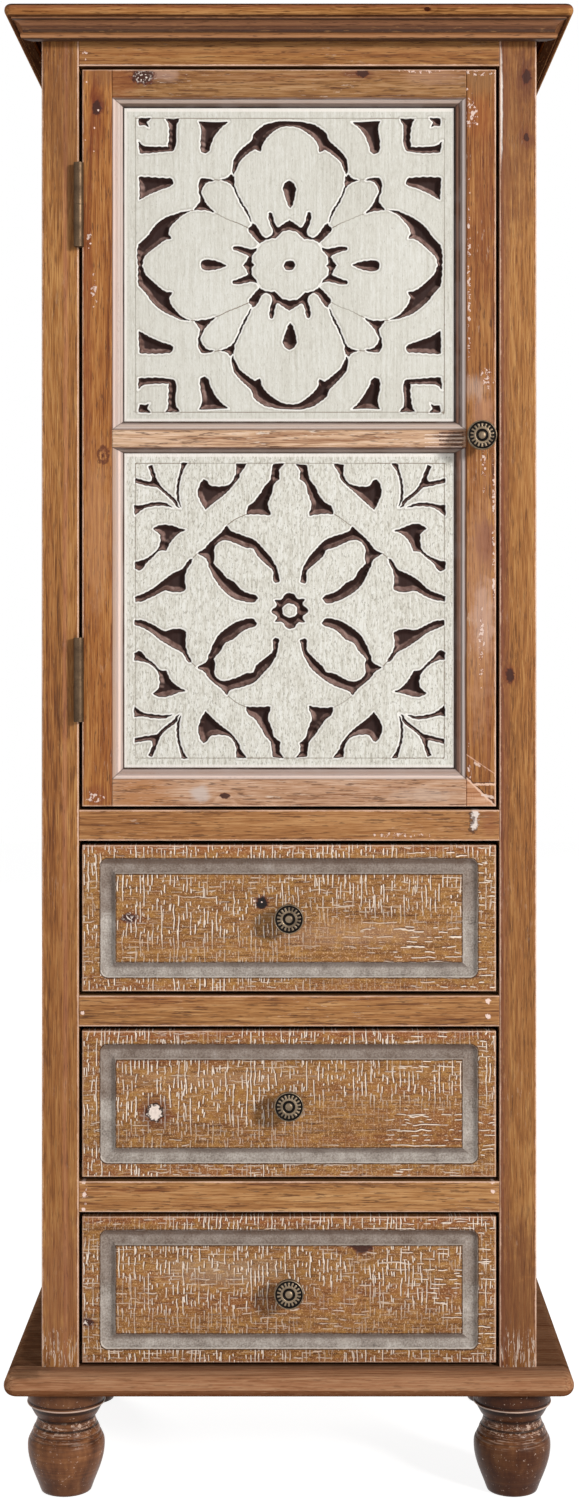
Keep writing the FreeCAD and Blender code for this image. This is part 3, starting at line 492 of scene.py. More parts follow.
# Marks: places and sizes on the fronts in mm.
# Stripes: axis, start, end, softness, tint, strength. Knots: x, z, size, pull on the rings, kind.
# Patches: x, z, half sizes, tint, strength. Chips: x, z, half sizes. Specks: x, z, size.
PINK = (188, 122, 96)
UMBER = (74, 42, 30)
DARK_LINE = (44, 24, 18)
POSTS = {
    "post_front_left": dict(
        # A painted highlight: a pink band on the eased inner edge
        stripes=[("X", -200.5, -197.0, 1.6, PINK, 0.35)],
        patches=[(-198, 1240, 26, 120, (108, 64, 36), 0.45), (-203, 340, 40, 330, (112, 68, 34), 0.2),
                 (-200, 180, 34, 75, (124, 74, 52), 0.4)]),
    "post_front_right": dict(
        knots=[(211, 1262, 5.0, 9, "dark"), (211, 1208, 3.0, 7, "dark"), (196.5, 730, 5.0, 8, "dark")],
        # Painted shade: dark bands along the inner edge
        stripes=[("X", 188.0, 191.0, 0.5, (108, 54, 42), 0.75), ("X", 191.0, 195.5, 1.2, (120, 66, 44), 0.5)],
        patches=[(210, 1262, 10, 26, (84, 38, 26), 0.8), (211, 1208, 8, 12, (104, 48, 32), 0.6),
                 (202, 1230, 26, 130, (108, 62, 38), 0.56), (196.5, 730, 9, 11, (120, 58, 30), 0.6),
                 (188.6, 1240, 1.5, 60, (238, 228, 220), 0.9), (203, 340, 40, 330, (112, 72, 40), 0.2),
                 (200, 175, 40, 90, (100, 56, 32), 0.6)]),
    "post_rear_left": {},
    "post_rear_right": {},
}
for number, (name, marks) in enumerate(POSTS.items()):
    board(name, "Z", CASE, 11 + number, spacing=3.2, pith=(0.004, 0.018), taper=0.05, figure=0.24, edge=0.95,
          wash_end=0.7, wash=0.15, sides=("-X", "+X"), red=0.15, pitted=0.4, **marks)
RAILS = {
    "rail_top": (RAIL_TOP, dict(
        chips=[(-181.5, 1284, 3, 9)],
        # Painted light: the upper part lighter, lifting the crown's shadow; painted shade: the lower part a
        # little darker
        stripes=[("Z", 1284, 1294, 2.5, (196, 148, 94), 0.30), ("Z", 1266, 1279, 3, (120, 76, 42), 0.16)])),
    "rail_below_door": (RAIL_MIDDLE, dict(
        chips=[(100, 588, 40, 3)], patches=[(177, 600, 9, 15, (140, 82, 54), 0.45)],
        scratches=[(164.6, 611.0, 163.4, 593.5, 4.0, (56, 32, 24), 0.75),
                   (166.2, 611.5, 164.2, 596.0, 2.9, (230, 216, 208), 0.95),
                   (164.4, 604.0, 162.8, 598.5, 1.4, (84, 60, 52), 0.8)])),
    "rail_middle": (RAIL, dict(specks=[(176.9, 440.5, 4.2), (176.9, 426.8, 4.2), (-183.6, 430.1, 3.0)])),
    "rail_lower": (RAIL, dict(
        chips=[(-181, 268, 3, 12)],
        specks=[(-182.6, 279.6, 3.2), (-182.0, 268.7, 3.8), (-182.6, 255.4, 3.2), (181.1, 279.6, 3.2),
                (181.1, 271.6, 3.2)])),
}
for number, (name, (palette, marks)) in enumerate(RAILS.items()):
    board(name, "X", palette, 31 + number, spacing=4.4, pith=(0.022, 0.012), taper=0.03, edge=0.95, wash=0.3,
          sides=("-Z", "+Z"), dark_sides=0.4, **marks)
STILE = dict(spacing=4.4, taper=0.03, figure=0.2, edge=0.95, dark_sides=0.4)
board("door_stile_left", "Z", DOOR, 41, pith=(-0.02, 0.01), red=0.4, wash=0.15, sides=("-X", "-Z", "+Z"),
      **STILE, knots=[(-170.7, 1234.5, 4.8, 8, "dark"), (-165.4, 926, 6.0, 14, "swirl")],
      specks=[(-180.0, 1257.6, 1.3), (-172.9, 1216.7, 1.5), (-173.5, 1196, 1.0), (-169.6, 1232.5, 1.6),
              (-181, 1206, 1.0), (-176.5, 1114, 1.4), (-178, 1110, 1.0)],
      chips=[(-172.5, 622, 12, 8), (-178, 1118, 4, 8), (-173, 1073, 4, 20)],
      patches=[(-166, 1264, 22, 15, (142, 94, 56), 0.7), (-169.5, 1238, 7, 13, (88, 36, 20), 0.75),
               (-172, 1225, 8, 55, (112, 44, 20), 0.55), (-180, 1080, 6, 120, (122, 52, 24), 0.5),
               (-179, 960, 5, 90, (126, 60, 30), 0.35), (-172, 622, 14, 12, (120, 56, 30), 0.5),
               (-170, 860, 14, 90, (196, 146, 108), 0.3)])
board("door_stile_right", "Z", DOOR_SIDE, 42, pith=(0.02, 0.012), red=0.25, wash=0.6,
      sides=("+X", "-Z", "+Z"), **STILE, mitre=(154.8, 641.3, 0.968),
      specks=[(158.2, 1251.3, 2.0), (167.1, 1220.2, 1.8)],
      chips=[(162, 1230, 7, 20), (172.5, 918, 4, 30), (171, 755, 3.5, 52), (182, 850, 2, 110),
             (160, 1080, 2, 120), (170, 1266, 16, 4), (176, 995, 10, 12), (160, 640, 2, 40)],
      patches=[(170, 1262, 22, 20, (140, 98, 60), 0.75), (170, 1225, 12, 22, (150, 84, 40), 0.5),
               (175, 848, 11, 26, (104, 38, 20), 0.8), (172, 782, 12, 38, (206, 176, 164), 0.5),
               (175, 1140, 12, 90, (112, 50, 24), 0.45), (172, 960, 12, 34, (196, 146, 118), 0.45),
               (178, 690, 6, 50, (120, 56, 30), 0.25), (165, 985, 12, 14, (206, 178, 160), 0.4),
               (170, 790, 18, 130, (204, 158, 126), 0.3)],
      scratches=[(155.8, 642.4, 184.2, 615.0, 0.5, (60, 32, 22), 0.8),
                 (154.8, 641.3, 183.1, 613.9, 0.9, EDGE, 0.95),
                 (163.0, 634.7, 184.5, 634.7, 0.5, (64, 36, 26), 0.8),
                 (164.0, 633.2, 184.5, 633.2, 1.0, EDGE, 0.95),
                 (172.0, 624.0, 181.0, 621.5, 1.2, (232, 206, 192), 0.8),
                 (157.4, 659.9, 182.2, 643.1, 0.45, (222, 176, 150), 0.7),
                 (165.5, 652.0, 169.0, 650.0, 1.5, (226, 196, 180), 0.8)])
board("door_rail_top", "X", DOOR_TOP, 43, spacing=4.2, pith=(0.01, 0.014), wash=0.45, figure=0.22,
      dark_sides=0.4, sides=("+Z",), chips=[(118, 1268, 34, 3.5), (0, 1270, 100, 1.5)],
      patches=[(-126, 1262, 20, 7, (100, 50, 32), 0.6), (-114, 1265, 18, 9, (196, 162, 144), 0.45),
               (64, 1266, 22, 6, (104, 54, 34), 0.6), (-150, 1258, 18, 22, (142, 78, 40), 0.5),
               (130, 1262, 30, 10, (190, 150, 126), 0.3)],
      knots=[(-129.8, 1262.0, 8.0, 12, "flecked"), (65.5, 1265.4, 4.2, 8, "dark")])
board("door_rail_middle", "X", DOOR_PALE, 44, spacing=5.0, pith=(0.01, 0.02), figure=0.5, edge=0.0, wash=0.9,
      red=0.1, stripes=[("X", 128, 170, 12, (112, 66, 48), 0.45)],
      scratches=[(134.0, z, 154.5, z, 0.75, (70, 38, 28), 0.85) for z in (945.6, 942.4, 939.0, 935.2)]
      + [(121.0, z, 153.5, z, 0.45, (238, 216, 202), 0.85) for z in (944.0, 940.8, 937.2, 933.2)])
board("door_rail_bottom", "X", DOOR_LOW, 45, spacing=4.8, pith=(0.01, 0.016), edge=0.95, wash=0.9, red=0.15,
      sides=("-Z",), dark_sides=0.4, stripes=[("X", -160, -110, 20, (170, 112, 62), 0.7)],
      patches=[(-79, 625, 11, 9, (200, 190, 186), 0.6), (120, 624, 40, 7, (214, 192, 176), 0.4)],
      knots=[(-56.9, 622.9, 3.2, 8, "dark")])
# The groove: its half width, and how far its outer line lies inside a front's ends and its long edges
FRONT_HALF = 184
GROOVE_HALF, GROOVE_SIDE, GROOVE_TOP = 6.5, 16.5, 12.4
DRAWERS = {
    1: dict(saw=(0.95, 0.85), specks=[(-31.0, 529.6, 1.8), (-24.3, 528.6, 1.2)],
            knots=[(-24.3, 528.2, 7.0, 9, "hole"), (-142.3, 514.4, 5.0, 14, "flecked")],
            patches=[(-140, 514, 16, 9, (110, 50, 26), 0.6), (-24, 528, 14, 9, (96, 46, 28), 0.5),
                     (60, 500, 90, 12, (190, 150, 120), 0.35)]),
    2: dict(saw=(0.95, 0.85), knots=[(-119.2, 341.5, 9.0, 10, "white")],
            patches=[(-119, 341, 22, 10, (122, 56, 26), 0.7), (-60, 372, 120, 7, (186, 150, 118), 0.3)]),
    3: dict(saw=(0.95, 0.2), knots=[(64.3, 222.5, 7.0, 9, "dark"), (-180.0, 155.0, 4.4, 8, "flecked")],
            patches=[(64, 221, 16, 9, (96, 46, 28), 0.6), (-60, 200, 60, 16, (186, 160, 132), 0.35),
                     (-178, 155, 8, 10, (90, 44, 26), 0.6)]),
}
for number, marks in DRAWERS.items():
    low, high = ends(f"drawer_{number}_front")
    inset = GROOVE_TOP + GROOVE_HALF
    groove = [size * MM for size in (
        FRONT_HALF - GROOVE_SIDE - GROOVE_HALF, low + inset, high - inset, GROOVE_HALF)]
    board(f"drawer_{number}_front", "X", DRAWER, 50 + number, spacing=6.0, pith=(0.015, 0.01), edge=0.7,
          groove=groove, rough=(0.5, 0.7), red=0.35, dark_sides=0.4, **marks,
          stripes=[("Z", high - 7, high + 1, 4, (146, 76, 42), 0.5),
                   ("Z", low - 1, low + 5, 4, (136, 74, 44), 0.4)])
LONG = dict(spacing=5.0, pith=(0.03, 0.012), edge=0.0)
low, high = ends("crown_board")
# Painted shade: a dark line on the nose's top rounding, a darker band below it, and a dark line along the
# board's lower edge
CROWN = [("Z", high - 3.6, high - 0.7, 0.3, (44, 26, 18), 0.9),
         ("Z", high - 6.0, high - 3.4, 0.8, (136, 78, 56), 0.6), ("Z", low - 1, low + 0.9, 0.3, UMBER, 0.85)]
board("crown_board", "X", CROWN_WOOD, 62, stripes=CROWN, shine=0.0, knots=[(121.3, 1314.0, 2.4, 5, "dark")],
      **LONG)
low, high = ends("crown_moulding_front")
bead = low + 6.3
# Painted light and shade across the moulding's profile: a darker cove, dark lines in its creases, a lighter
# band near the top, and a painted highlight on the bead
MOULDING_LIGHT_AND_SHADE = [("Z", bead + 2.0, high - 1.8, 0.2, (106, 66, 44), 0.7),
            ("Z", bead + 1.6, bead + 5.4, 0.8, (66, 38, 24), 0.5),
            ("Z", high - 5.5, high - 2.2, 0.8, (160, 112, 82), 0.45),
            ("Z", bead - 0.4, bead + 2.4, 0.3, DARK_LINE, 0.85),
            ("Z", bead + 4.4, bead + 5.2, 0.3, (76, 46, 34), 0.4),
            ("Z", high - 2.4, high - 1.4, 0.2, DARK_LINE, 0.9),
            ("Z", high - 1.2, high, 0.2, (128, 88, 66), 0.6),
            ("Z", low + 1.0, bead - 0.6, 0.4, (138, 92, 58), 0.7),
            ("Z", low + 1.4, low + 3.0, 0.3, (176, 126, 88), 0.7),
            ("Z", low - 1.0, low + 0.9, 0.2, DARK_LINE, 0.9)]
board("crown_moulding_front", "X", TRIM, 63, stripes=MOULDING_LIGHT_AND_SHADE, **LONG)
for number, side in enumerate(("left", "right")):
    board(f"crown_moulding_{side}", "Y", TRIM, 71 + number, front_axis="X", stripes=MOULDING_LIGHT_AND_SHADE, shine=0.0,
          **LONG)
low, high = ends("base_board")
# Painted light and shade: a lighter band on the nose's upper rounding, darker bands below it and on the lower
# rounding, painted shade along the foot of the case's front, and painted shadow of the case over the top
# behind it
BASE = [("Z", low + 19.0, low + 28.0, 3.0, (220, 178, 142), 0.45),
        ("Z", low + 7.5, low + 15.5, 2.5, (136, 88, 58), 0.28),
        ("Z", low - 1, low + 7.4, 0.5, (108, 62, 34), 0.8), ("Y", -149, -130, 4, (96, 62, 48), 0.5),
        ("Y", -136, 300, 1, (60, 34, 20), 0.6)]
# Its patch is a painted shadow of the case on the left end of the top
board("base_board", "X", BASE_WOOD, 61, spacing=6.0, pith=(0.03, 0.012), edge=0.0, stripes=BASE, shine=0.0,
      red=0.1, pitted=0.3, patches=[(-232, 117, 26, 4.5, (34, 18, 10), 0.5)])
for number, side in enumerate(("left", "right")):
    board(f"side_rails_{side}", "Y", CASE, 81 + number, spacing=5.0, edge=0.0, front_axis="X")
    board(f"side_panels_{side}", "Z", CASE, 91 + number, spacing=5.6, pith=(0.05, 0.02), edge=0.0,
          front_axis="X")
board("back_panel", "Z", INSIDE, 101, spacing=6.5, pith=(0.05, 0.03), edge=0.0)
INNER = {"cupboard_floor": "X", "shelf": "X", "drawer_bearers": "Y", "drawer_guides": "Y", "foot_dowels": "X",
         "shelf_pins": "X"}
for number, (name, along) in enumerate(INNER.items()):
    board(name, along, INSIDE, 111 + number, edge=0.0)
for number in DRAWERS:
    board(f"drawer_{number}_sides", "Y", INSIDE, 120 + number, edge=0.0, front_axis="X")
    board(f"drawer_{number}_back", "X", INSIDE, 130 + number, edge=0.0)
    board(f"drawer_{number}_bottom", "X", INSIDE, 140 + number, edge=0.0)


# Metals and plastic

def metal(name, dark, bright, roughness):
    """Antique metal: bright where it is rubbed, dark in its hollows, with a cloudy patina."""
    s = Shade(name)
    grit = s.cloud(900, 2, 0.6)
    amount = s.cloud(90, 3, 0.6) * 0.55 + grit * 0.25
    s.colour = s.mix(s.span(amount, 0.25, 0.6), bright, dark)
    s.coat(s.span(s.attribute("hollow"), 0.1, 0.75), (14, 11, 9))
    rough = s.span(amount, 0.2, 0.7, roughness, roughness + 0.25)
    return s.finish(rough, s.bump(grit, 0.0001, 0.4), Metallic=0.85)


def plastic():
    s = Shade("catch_plastic")
    grit = s.cloud(1500, 2, 0.6)
    return s.finish(0.5, s.bump(grit, 0.0001, 0.3), s.mix(grit, (84, 54, 34), (98, 66, 42)))


knob_metal = metal("antique_brass", (66, 53, 41), (144, 126, 104), 0.35)
hinge_metal = metal("antique_bronze", (66, 50, 36), (98, 78, 58), 0.40)
steel = metal("plain_steel", (120, 118, 116), (168, 166, 162), 0.3)
for name in ("hinge_screws_frame", "hinge_screws_door", "catch_plate"):
    dress(name, steel)
for name in ("hinge_pins", "hinge_leaves_frame", "hinge_leaves_door"):
    dress(name, hinge_metal)
dress("door_catch", plastic())


# Mesh helpers

def piece(name, node, verts, faces, material, body, smooth=True):
    """Add a mesh that rides on a body and replaces a CAD node."""
    mesh = bpy.data.meshes.new(name)
    mesh.from_pydata([tuple(v) for v in verts], [], faces)
    mesh.validate()
    build = bmesh.new()
    build.from_mesh(mesh)
    bmesh.ops.recalc_face_normals(build, faces=build.faces)
    build.to_mesh(mesh)
    build.free()
    mesh.polygons.foreach_set("use_smooth", [smooth] * len(mesh.polygons))
    item = bpy.data.objects.new(name, mesh)
    scene.collection.objects.link(item)
    mesh.materials.append(material)
    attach(item, body)
    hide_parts(node)
    return mesh


def store(mesh, name, values):
    """Keep a number for each point of a mesh, for its material."""
    mesh.attributes.new(name, "FLOAT", "POINT").data.foreach_set("value", values)


def turned(rows, around, place):
    """Return the vertices and faces of rows turned about an axis. place gives a row's point at a step."""
    verts = []
    faces = []
    rings = []
    for row in rows:
        steps = 1 if row[0] == 0 else around
        rings.append(range(len(verts), len(verts) + steps))
        verts += [place(row, step) for step in range(steps)]
    for one, two in zip(rings, rings[1:]):
        for step in range(around):
            after = (step + 1) % around
            corners = [one[step % len(one)], one[after % len(one)], two[after % len(two)],
                       two[step % len(two)]]
            faces.append(tuple(dict.fromkeys(corners)))
    return verts, faces


# Carved panels

def curve(points, step=0.008):
    """Return points along a smooth open line; a point with a third value is a sharp corner."""
    knots = [np.array(p[:2], float) for p in points]
    sharp = [len(p) > 2 for p in points]
    line = []
    for i, (a, b) in enumerate(zip(knots, knots[1:])):
        first = i == 0 or sharp[i]
        last = i + 2 == len(knots) or sharp[i + 1]
        start = b - a if first else (b - knots[i - 1]) * 0.5
        finish = b - a if last else (knots[i + 2] - a) * 0.5
        length = np.linalg.norm(b - a)
        for vector in (start, finish):
            vector *= min(1.0, length / np.linalg.norm(vector))
        count = max(1, int(round(length / step)))
        for t in [k / count for k in range(count)]:
            h = (2 * t ** 3 - 3 * t ** 2 + 1, t ** 3 - 2 * t ** 2 + t, -2 * t ** 3 + 3 * t ** 2,
                 t ** 3 - t ** 2)
            line.append(a * h[0] + start * h[1] + b * h[2] + finish * h[3])
    line.append(knots[-1])
    return line


def signed(line, signs):
    return [p * np.array(signs) for p in line]


def quarters(points):
    """Return a closed line, which starts at a sharp corner, in all four quarters."""
    line = curve(points + points[:1])[:-1]
    return [signed(line, signs) for signs in QUARTERS]


def mirrored(points, flip, other):
    """Return a closed line whose half runs from the axis back to it, on both sides of the other axis."""
    line = curve(points)
    whole = line + signed(reversed(line), flip)
    return [whole, signed(whole, other)]


def ring_line(points):
    """Return a closed line whose quarter runs from the Y axis to the X axis."""
    quarter = curve(points)
    back = quarter[::-1]
    return quarter + signed(back, (1, -1))[1:] + signed(quarter, (-1, -1))[1:] + signed(back, (-1, 1))[1:-1]


QUARTERS = ((1, 1), (-1, 1), (1, -1), (-1, -1))
# Outlines as shares of a motif's half sizes; a third value marks a sharp corner
UPPER_CUTS = {
    "quarters": [
        # Between the bud and the side petal
        [(0.452, 0.336, 1), (0.50, 0.352), (0.577, 0.358, 1), (0.548, 0.40), (0.54, 0.43), (0.552, 0.47),
         (0.553, 0.53), (0.535, 0.56, 1), (0.48, 0.557), (0.46, 0.548, 1), (0.50, 0.538), (0.532, 0.505),
         (0.540, 0.47), (0.52, 0.42), (0.49, 0.37)],
        # The tip of the slit beside the bud
        [(0.232, 0.262, 1), (0.262, 0.33), (0.30, 0.41), (0.335, 0.49), (0.362, 0.528), (0.418, 0.55, 1),
         (0.38, 0.56), (0.35, 0.59, 1), (0.338, 0.56), (0.334, 0.51), (0.30, 0.43), (0.256, 0.34)],
        # Side petal's outer slot's inner tip to its cusp, up to the border
        [(0.912, 0.4245, 1), (0.912, 0.565, 1), (0.727, 0.562), (0.712, 0.552, 1), (0.708, 0.523, 1),
         (0.74, 0.505), (0.84, 0.468)],
        [(0.372, 0.923, 1), (0.41, 0.895), (0.445, 0.849), (0.478, 0.783), (0.493, 0.738), (0.515, 0.722),
         (0.54, 0.734), (0.541, 0.80), (0.532, 0.871), (0.548, 0.923, 1)],
        [(0.713, 0.733, 1), (0.80, 0.727), (0.9116, 0.725, 1), (0.920, 0.80, 1), (0.893, 0.772),
         (0.80, 0.762), (0.736, 0.757, 1), (0.731, 0.80), (0.733, 0.871), (0.7376, 0.9155),
         (0.758, 0.9436, 1), (0.668, 0.9436, 1), (0.688, 0.905), (0.693, 0.849), (0.690, 0.7826),
         (0.698, 0.749)],
        [(0.852, 0.888, 1), (0.884, 0.900), (0.9116, 0.898, 1), (0.915, 0.9436, 1), (0.8455, 0.9436, 1),
         (0.868, 0.915)],
    ],
    "about_x": [
        # Outer slot of the petal below: from its inner edge on the axis out to the tip and back
        [(0.0, 0.895), (0.06, 0.885), (0.13, 0.83), (0.166, 0.783), (0.18, 0.73, 1), (0.21, 0.745),
         (0.245, 0.728), (0.30, 0.672), (0.328, 0.62), (0.345, 0.575, 1), (0.350, 0.61), (0.336, 0.686),
         (0.292, 0.745), (0.235, 0.80, 1), (0.215, 0.85), (0.15, 0.905, 1), (0.08, 0.922), (0.0, 0.922)],
        # Drop in the petal below
        [(0.0, 0.375), (0.014, 0.395), (0.030, 0.45), (0.038, 0.495), (0.024, 0.530), (0.0, 0.542)],
    ],
    "about_y": [
        [(0.895, 0.0), (0.885, 0.045), (0.86, 0.085), (0.80, 0.138), (0.76, 0.166), (0.717, 0.1735, 1),
         (0.733, 0.21), (0.728, 0.24), (0.70, 0.283), (0.661, 0.325), (0.60, 0.354, 1), (0.66, 0.343),
         (0.738, 0.312), (0.79, 0.275), (0.84, 0.222, 1), (0.86, 0.19), (0.917, 0.129, 1), (0.922, 0.06),
         (0.9186, 0.0)],
        [(0.385, 0.0), (0.41, 0.014), (0.47, 0.030), (0.515, 0.033), (0.536, 0.018), (0.54, 0.0)],
    ],
    "discs": [0.034],
    # The gap round the middle disc, from the Y axis to the X axis
    "gap_out": [(0.0, 0.285), (0.035, 0.262), (0.072, 0.242), (0.09, 0.27), (0.106, 0.335), (0.124, 0.338),
                (0.122, 0.29), (0.104, 0.23), (0.110, 0.196), (0.140, 0.176), (0.172, 0.195), (0.205, 0.252),
                (0.225, 0.268), (0.236, 0.252), (0.252, 0.228), (0.236, 0.205), (0.20, 0.165), (0.178, 0.138),
                (0.198, 0.112), (0.232, 0.104), (0.30, 0.122), (0.342, 0.118), (0.345, 0.104), (0.29, 0.085),
                (0.252, 0.062), (0.262, 0.03), (0.285, 0.0)],
    "gap_in": [(0.0, 0.222), (0.042, 0.214), (0.072, 0.186), (0.090, 0.170, 1), (0.118, 0.170),
               (0.148, 0.160), (0.172, 0.144, 1), (0.188, 0.128), (0.199, 0.104), (0.201, 0.090, 1),
               (0.222, 0.070), (0.232, 0.046), (0.230, 0.018), (0.218, 0.0)],
    "lines": [[(0.245, 0.235), (0.33, 0.275), (0.40, 0.312), (0.455, 0.335)],
              [(0.575, 0.357), (0.62, 0.348)], [(0.462, 0.548), (0.44, 0.552), (0.416, 0.55)]],
}
LOWER_CUTS = {
    "quarters": [
        # Round the petal
        [(0.198, 0.079, 1), (0.223, 0.052), (0.293, 0.066), (0.37, 0.103), (0.427, 0.160), (0.466, 0.225),
         (0.492, 0.287), (0.506, 0.334), (0.561, 0.367, 1), (0.512, 0.392), (0.487, 0.430), (0.450, 0.468),
         (0.4145, 0.500), (0.379, 0.542, 1), (0.360, 0.512), (0.306, 0.492), (0.23, 0.462), (0.164, 0.402),
         (0.113, 0.338), (0.082, 0.268), (0.072, 0.22), (0.064, 0.19), (0.087, 0.176, 1), (0.101, 0.196),
         (0.104, 0.255), (0.14, 0.297), (0.200, 0.356), (0.224, 0.396), (0.274, 0.408), (0.332, 0.438),
         (0.395, 0.453), (0.436, 0.436), (0.457, 0.395), (0.455, 0.344), (0.462, 0.306), (0.424, 0.2615),
         (0.390, 0.21), (0.340, 0.1786), (0.302, 0.140), (0.2615, 0.114), (0.21, 0.098, 1)],
        [(0.631, 0.140, 1), (0.663, 0.121), (0.714, 0.119), (0.765, 0.1276), (0.829, 0.093), (0.893, 0.066),
         (0.936, 0.060, 1), (0.94, 0.089, 1), (0.893, 0.108), (0.829, 0.143), (0.778, 0.188), (0.714, 0.233),
         (0.652, 0.2655), (0.624, 0.304), (0.612, 0.325), (0.592, 0.330, 1), (0.606, 0.298), (0.628, 0.248),
         (0.636, 0.191)],
        [(0.625, 0.5166, 1), (0.663, 0.502), (0.714, 0.456), (0.745, 0.402), (0.752, 0.385, 1), (0.79, 0.381),
         (0.829, 0.341), (0.876, 0.300), (0.897, 0.268), (0.918, 0.257), (0.942, 0.274, 1), (0.94, 0.3145, 1),
         (0.893, 0.322), (0.842, 0.348), (0.800, 0.391), (0.787, 0.434), (0.790, 0.491), (0.831, 0.529, 1),
         (0.8036, 0.544), (0.765, 0.553), (0.714, 0.544), (0.676, 0.527)],
        [(0.115, 0.615, 1), (0.191, 0.622), (0.264, 0.617, 1), (0.255, 0.663), (0.212, 0.697),
         (0.1800, 0.742), (0.155, 0.79), (0.118, 0.842), (0.106, 0.893), (0.098, 0.9375, 1),
         (0.036, 0.941, 1), (0.062, 0.9), (0.062, 0.848, 1), (0.100, 0.812), (0.113, 0.7526), (0.132, 0.689),
         (0.121, 0.644)],
        [(0.508, 0.648, 1), (0.544, 0.714), (0.557, 0.765), (0.544, 0.816), (0.523, 0.843, 1), (0.504, 0.831),
         (0.483, 0.799), (0.42, 0.793), (0.362, 0.812), (0.328, 0.867), (0.328, 0.9375, 1), (0.266, 0.941, 1),
         (0.3010, 0.8865), (0.312, 0.848), (0.350, 0.797), (0.406, 0.745), (0.4640, 0.694)],
        # The corner spray: the slit below, the forked slit and the curled slit
        [(0.661, 0.664, 1), (0.676, 0.680), (0.683, 0.72), (0.683, 0.765), (0.676, 0.842), (0.666, 0.893),
         (0.657, 0.944, 1), (0.622, 0.946, 1), (0.652, 0.893), (0.664, 0.842), (0.671, 0.765), (0.670, 0.70)],
        [(0.664, 0.660, 1), (0.690, 0.672), (0.702, 0.698), (0.768, 0.757), (0.808, 0.795, 1), (0.867, 0.806),
         (0.940, 0.822, 1), (0.9375, 0.848, 1), (0.868, 0.832), (0.838, 0.834), (0.834, 0.867),
         (0.855, 0.925, 1), (0.832, 0.932, 1), (0.812, 0.867), (0.797, 0.823), (0.758, 0.770),
         (0.694, 0.712)],
        [(0.710, 0.664, 1), (0.765, 0.674), (0.842, 0.666), (0.893, 0.648), (0.940, 0.612, 1),
         (0.940, 0.678, 1), (0.895, 0.674), (0.842, 0.688), (0.765, 0.691)],
    ],
    "about_x": [],
    "about_y": [],
    "discs": [],
    "gap_out": [(0.0, 0.114), (0.022, 0.110), (0.036, 0.088), (0.050, 0.072), (0.070, 0.072),
                (0.090, 0.070, 1), (0.080, 0.054), (0.078, 0.038), (0.092, 0.022), (0.110, 0.010),
                (0.112, 0.0)],
    "gap_in": [(0.0, 0.045), (0.024, 0.040), (0.042, 0.022), (0.046, 0.0)],
    "lines": [[(0.561, 0.367), (0.576, 0.350), (0.594, 0.329)],
              [(0.379, 0.542), (0.33, 0.58), (0.264, 0.618)]],
}


def grown(line, amount):
    """Return a closed line's points moved outward by an amount."""
    run = np.roll(line, -1, axis=0) - np.roll(line, 1, axis=0)
    x, z = line.T
    way = np.sign((x * np.roll(z, -1) - np.roll(x, -1) * z).sum())
    return line + across(run) * -amount * way


def across(run):
    """Return unit vectors at a right angle to each run."""
    return np.stack((-run[:, 1], run[:, 0]), 1) / np.linalg.norm(run, axis=1)[:, None].clip(1e-9)


def in_line(points, line):
    """Say which points lie inside a closed line."""
    near = ((points > line.min(0)) & (points < line.max(0))).all(1)
    x, y = points[near].T
    hits = np.zeros(len(x), bool)
    for (x0, y0), (x1, y1) in zip(line, np.roll(line, -1, axis=0)):
        if y0 != y1:
            hits ^= ((y0 > y) != (y1 > y)) & (x < (x1 - x0) * (y - y0) / (y1 - y0) + x0)
    inside = np.zeros(len(points), bool)
    inside[near] = hits
    return inside


def nearness(lines, step=0.25 * MM):
    """Return a function that gives points' distances to the lines, sampled at a step."""
    samples = []
    for line in lines:
        for a, b in zip(line[:-1], line[1:]):
            count = max(1, math.ceil(np.linalg.norm(b - a) / step))
            samples.extend(a + (b - a) * k / count for k in range(count))
        samples.append(line[-1])
    tree = KDTree(len(samples))
    for number, (x, z) in enumerate(samples):
        tree.insert((x, z, 0), number)
    tree.balance()
    return lambda points: np.array([tree.find((x, z, 0))[2] for x, z in points])


# The two motifs: their half sizes, and their middles across and up
MOTIF_HALF_WIDTH, MOTIF_MIDDLE = 147.3, 0.6
UPPER_HALF, UPPER_MIDDLE = 138.8, 1095.9
LOWER_HALF, LOWER_MIDDLE = 139.2, 787.6
# A cut in mm: depth at its rim, slope of its walls, depth at its bottom, and how wide the rim is rounded
RIM_DEPTH, WALL_SLOPE, CUT_DEPTH, ROUNDING = 0.35, 1.55, 6.6, 0.9
# The fine lines' depth and half width, and the border line's place as shares of the half sizes
LINE_DEPTH, LINE_HALF = 0.55, 0.7
BORDER_X, BORDER_Z = 0.936, 0.945
# Mesh points in mm: the grid's step, its distances to the outlines in and round the cuts.
# The points beside the outlines: how far away they are put, and how near an outline they may be
GRID, GRID_IN, GRID_ROUND = 1.15, 0.55, (0.8, 2.2)
RING_AWAY, RING_CLEAR = 0.6, 0.5
SMALL = 1e-6


